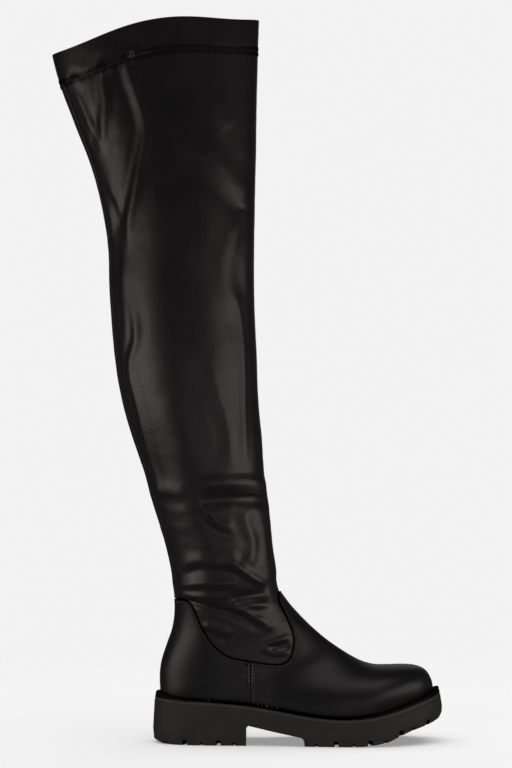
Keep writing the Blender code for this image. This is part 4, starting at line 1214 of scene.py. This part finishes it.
def makeStay():
    drift = smoothLine([(0, 1), (3, 0.8), (5, 0.3), (7, 0), (tipRow, 0)], 8)
    bottom = None
    for t in np.linspace(ankleRow - 1, ankleRow + 4, 200):
        if formPoints(t, np.array([math.pi]))[0, 2] > panelLine[0, 1] + 0.2 * mm:
            bottom = t
    ts = evenRows(cuffRow + 0.02, bottom, 2.4 * mm)
    angles = np.radians(np.linspace(100, 200, 401))
    middle = np.argmin(np.abs(angles - math.pi))
    across = np.linspace(-0.5, 0.5, staySet["columns"] + 1)
    outer, inner = [], []
    for t in ts:
        ring = formPoints(t, angles)
        along = lengthAlong(ring)
        along = along[middle] - along
        centre = np.interp(t, drift[:, 0], drift[:, 1]) * staySet["drift"]
        wanted = centre + staySet["width"] * across
        chosen = np.interp(wanted, along[::-1], angles[::-1])
        points = formPoints(t, chosen)
        normals = formNormals(t, chosen, points)
        heights = creased(points)
        edge = 1 - np.abs(across * 2) ** 7
        outer.append(points + normals * (heights + 0.1 * mm + staySet["thick"] * edge)[:, None])
        inner.append(points + normals * (heights + 0.05 * mm)[:, None])
    placed = np.concatenate([np.array(outer), np.array(inner)[:, ::-1]], axis=1)
    placed = np.concatenate([placed, placed[:, :1]], axis=1)
    bm, ordered = gridMesh(placed)
    # painted shade along the strip's edges and on its hidden side, through the panel gap band
    panelGap = bm.verts.layers.float["panelGap"]
    fromEdge = (0.5 - np.abs(across)) * staySet["width"] / mm
    fromEdge = np.concatenate([fromEdge, fromEdge * 0, [0]])
    for k, vert in enumerate(ordered):
        vert[panelGap] = 20 + 0.9 * fromEdge[k % len(fromEdge)]
    bmesh.ops.remove_doubles(bm, verts=bm.verts, dist=0.01 * mm)
    bmesh.ops.holes_fill(bm, edges=[e for e in bm.edges if e.is_boundary])
    bmesh.ops.recalc_face_normals(bm, faces=bm.faces)
    return finishPiece("back_strip", bm, [stretchLeather], ["back_stay"])


makeStay()
print("back strip made")


# Sole, welt and insole: the solids, with softened edges

pitSet = {
    "below": 0.024, "tilts": (0.35, 0.75, 1.15), "turns": 8, "reach": 7 * mm, "open": 0.22, "soft": 0.2,
}


def pitShare(tree, centre, normal):
    # painted shade for a face: 1 deep in a slot of the tread, 0 in the open, from how many rays are stopped
    # close by
    side = normal.orthogonal().normalized()
    hits, rays = 0, 0
    for tilt in pitSet["tilts"]:
        for k in range(pitSet["turns"]):
            way = side.copy()
            way.rotate(Quaternion(normal, k * 2 * math.pi / pitSet["turns"]))
            way = normal * math.cos(tilt) + way * math.sin(tilt)
            rays += 1
            hits += tree.ray_cast(centre + normal * 0.1 * mm, way, pitSet["reach"])[0] is not None
    return clamp((hits / rays - pitSet["open"]) / pitSet["soft"])


def softened(node, name, material, rules):
    # rules: lowest z, highest z and width, for the sharp edges between the two heights
    bm = bmesh.new()
    bm.from_mesh(cadNodes[node].data)
    bmesh.ops.remove_doubles(bm, verts=bm.verts, dist=0.005 * mm)
    bmesh.ops.dissolve_limit(bm, angle_limit=math.radians(1.0), verts=bm.verts, edges=bm.edges)
    for low, high, width in rules:
        sharp = [
            e for e in bm.edges
            if len(e.link_faces) == 2
            and e.calc_face_angle(0) > math.radians(28)
            and all(low <= v.co.z <= high for v in e.verts)
        ]
        bmesh.ops.bevel(
            bm, geom=sharp, offset=width, segments=2, profile=0.5, affect="EDGES", material=-1,
            clamp_overlap=True,
        )
        print(name, "edges softened:", len(sharp), "by", round(width / mm, 2), "mm")
    # painted shade deep in the slots of the tread, darker where more rays are stopped
    pit = bm.faces.layers.float.new("pit")
    tree = BVHTree.FromBMesh(bm)
    for face in bm.faces:
        centre = face.calc_center_median()
        if centre.z < pitSet["below"]:
            face[pit] = pitShare(tree, centre, face.normal)
    # height over the seat, for the painted highlight along the rim and the painted shadow in the gap over
    # it
    soleGap = bm.verts.layers.float.new("soleGap")
    for vert in bm.verts:
        vert[soleGap] = 20 + (vert.co.z - float(featherHeight(vert.co.x))) / mm
    return finishPiece(name, bm, [material], [node], angle=40)


soleEdges = [(0.016, 0.1, 1.3 * mm), (-0.01, 0.016, 0.7 * mm)]
softened("outsole", "lug_sole", soleRubber, soleEdges)
softened("welt", "welt_strip", weltRubber, [(0.0, 0.1, 0.35 * mm)])
softened("insole", "insole_pad", insoleCloth, [(0.0, 0.1, 0.6 * mm)])
print("sole, welt and insole made")
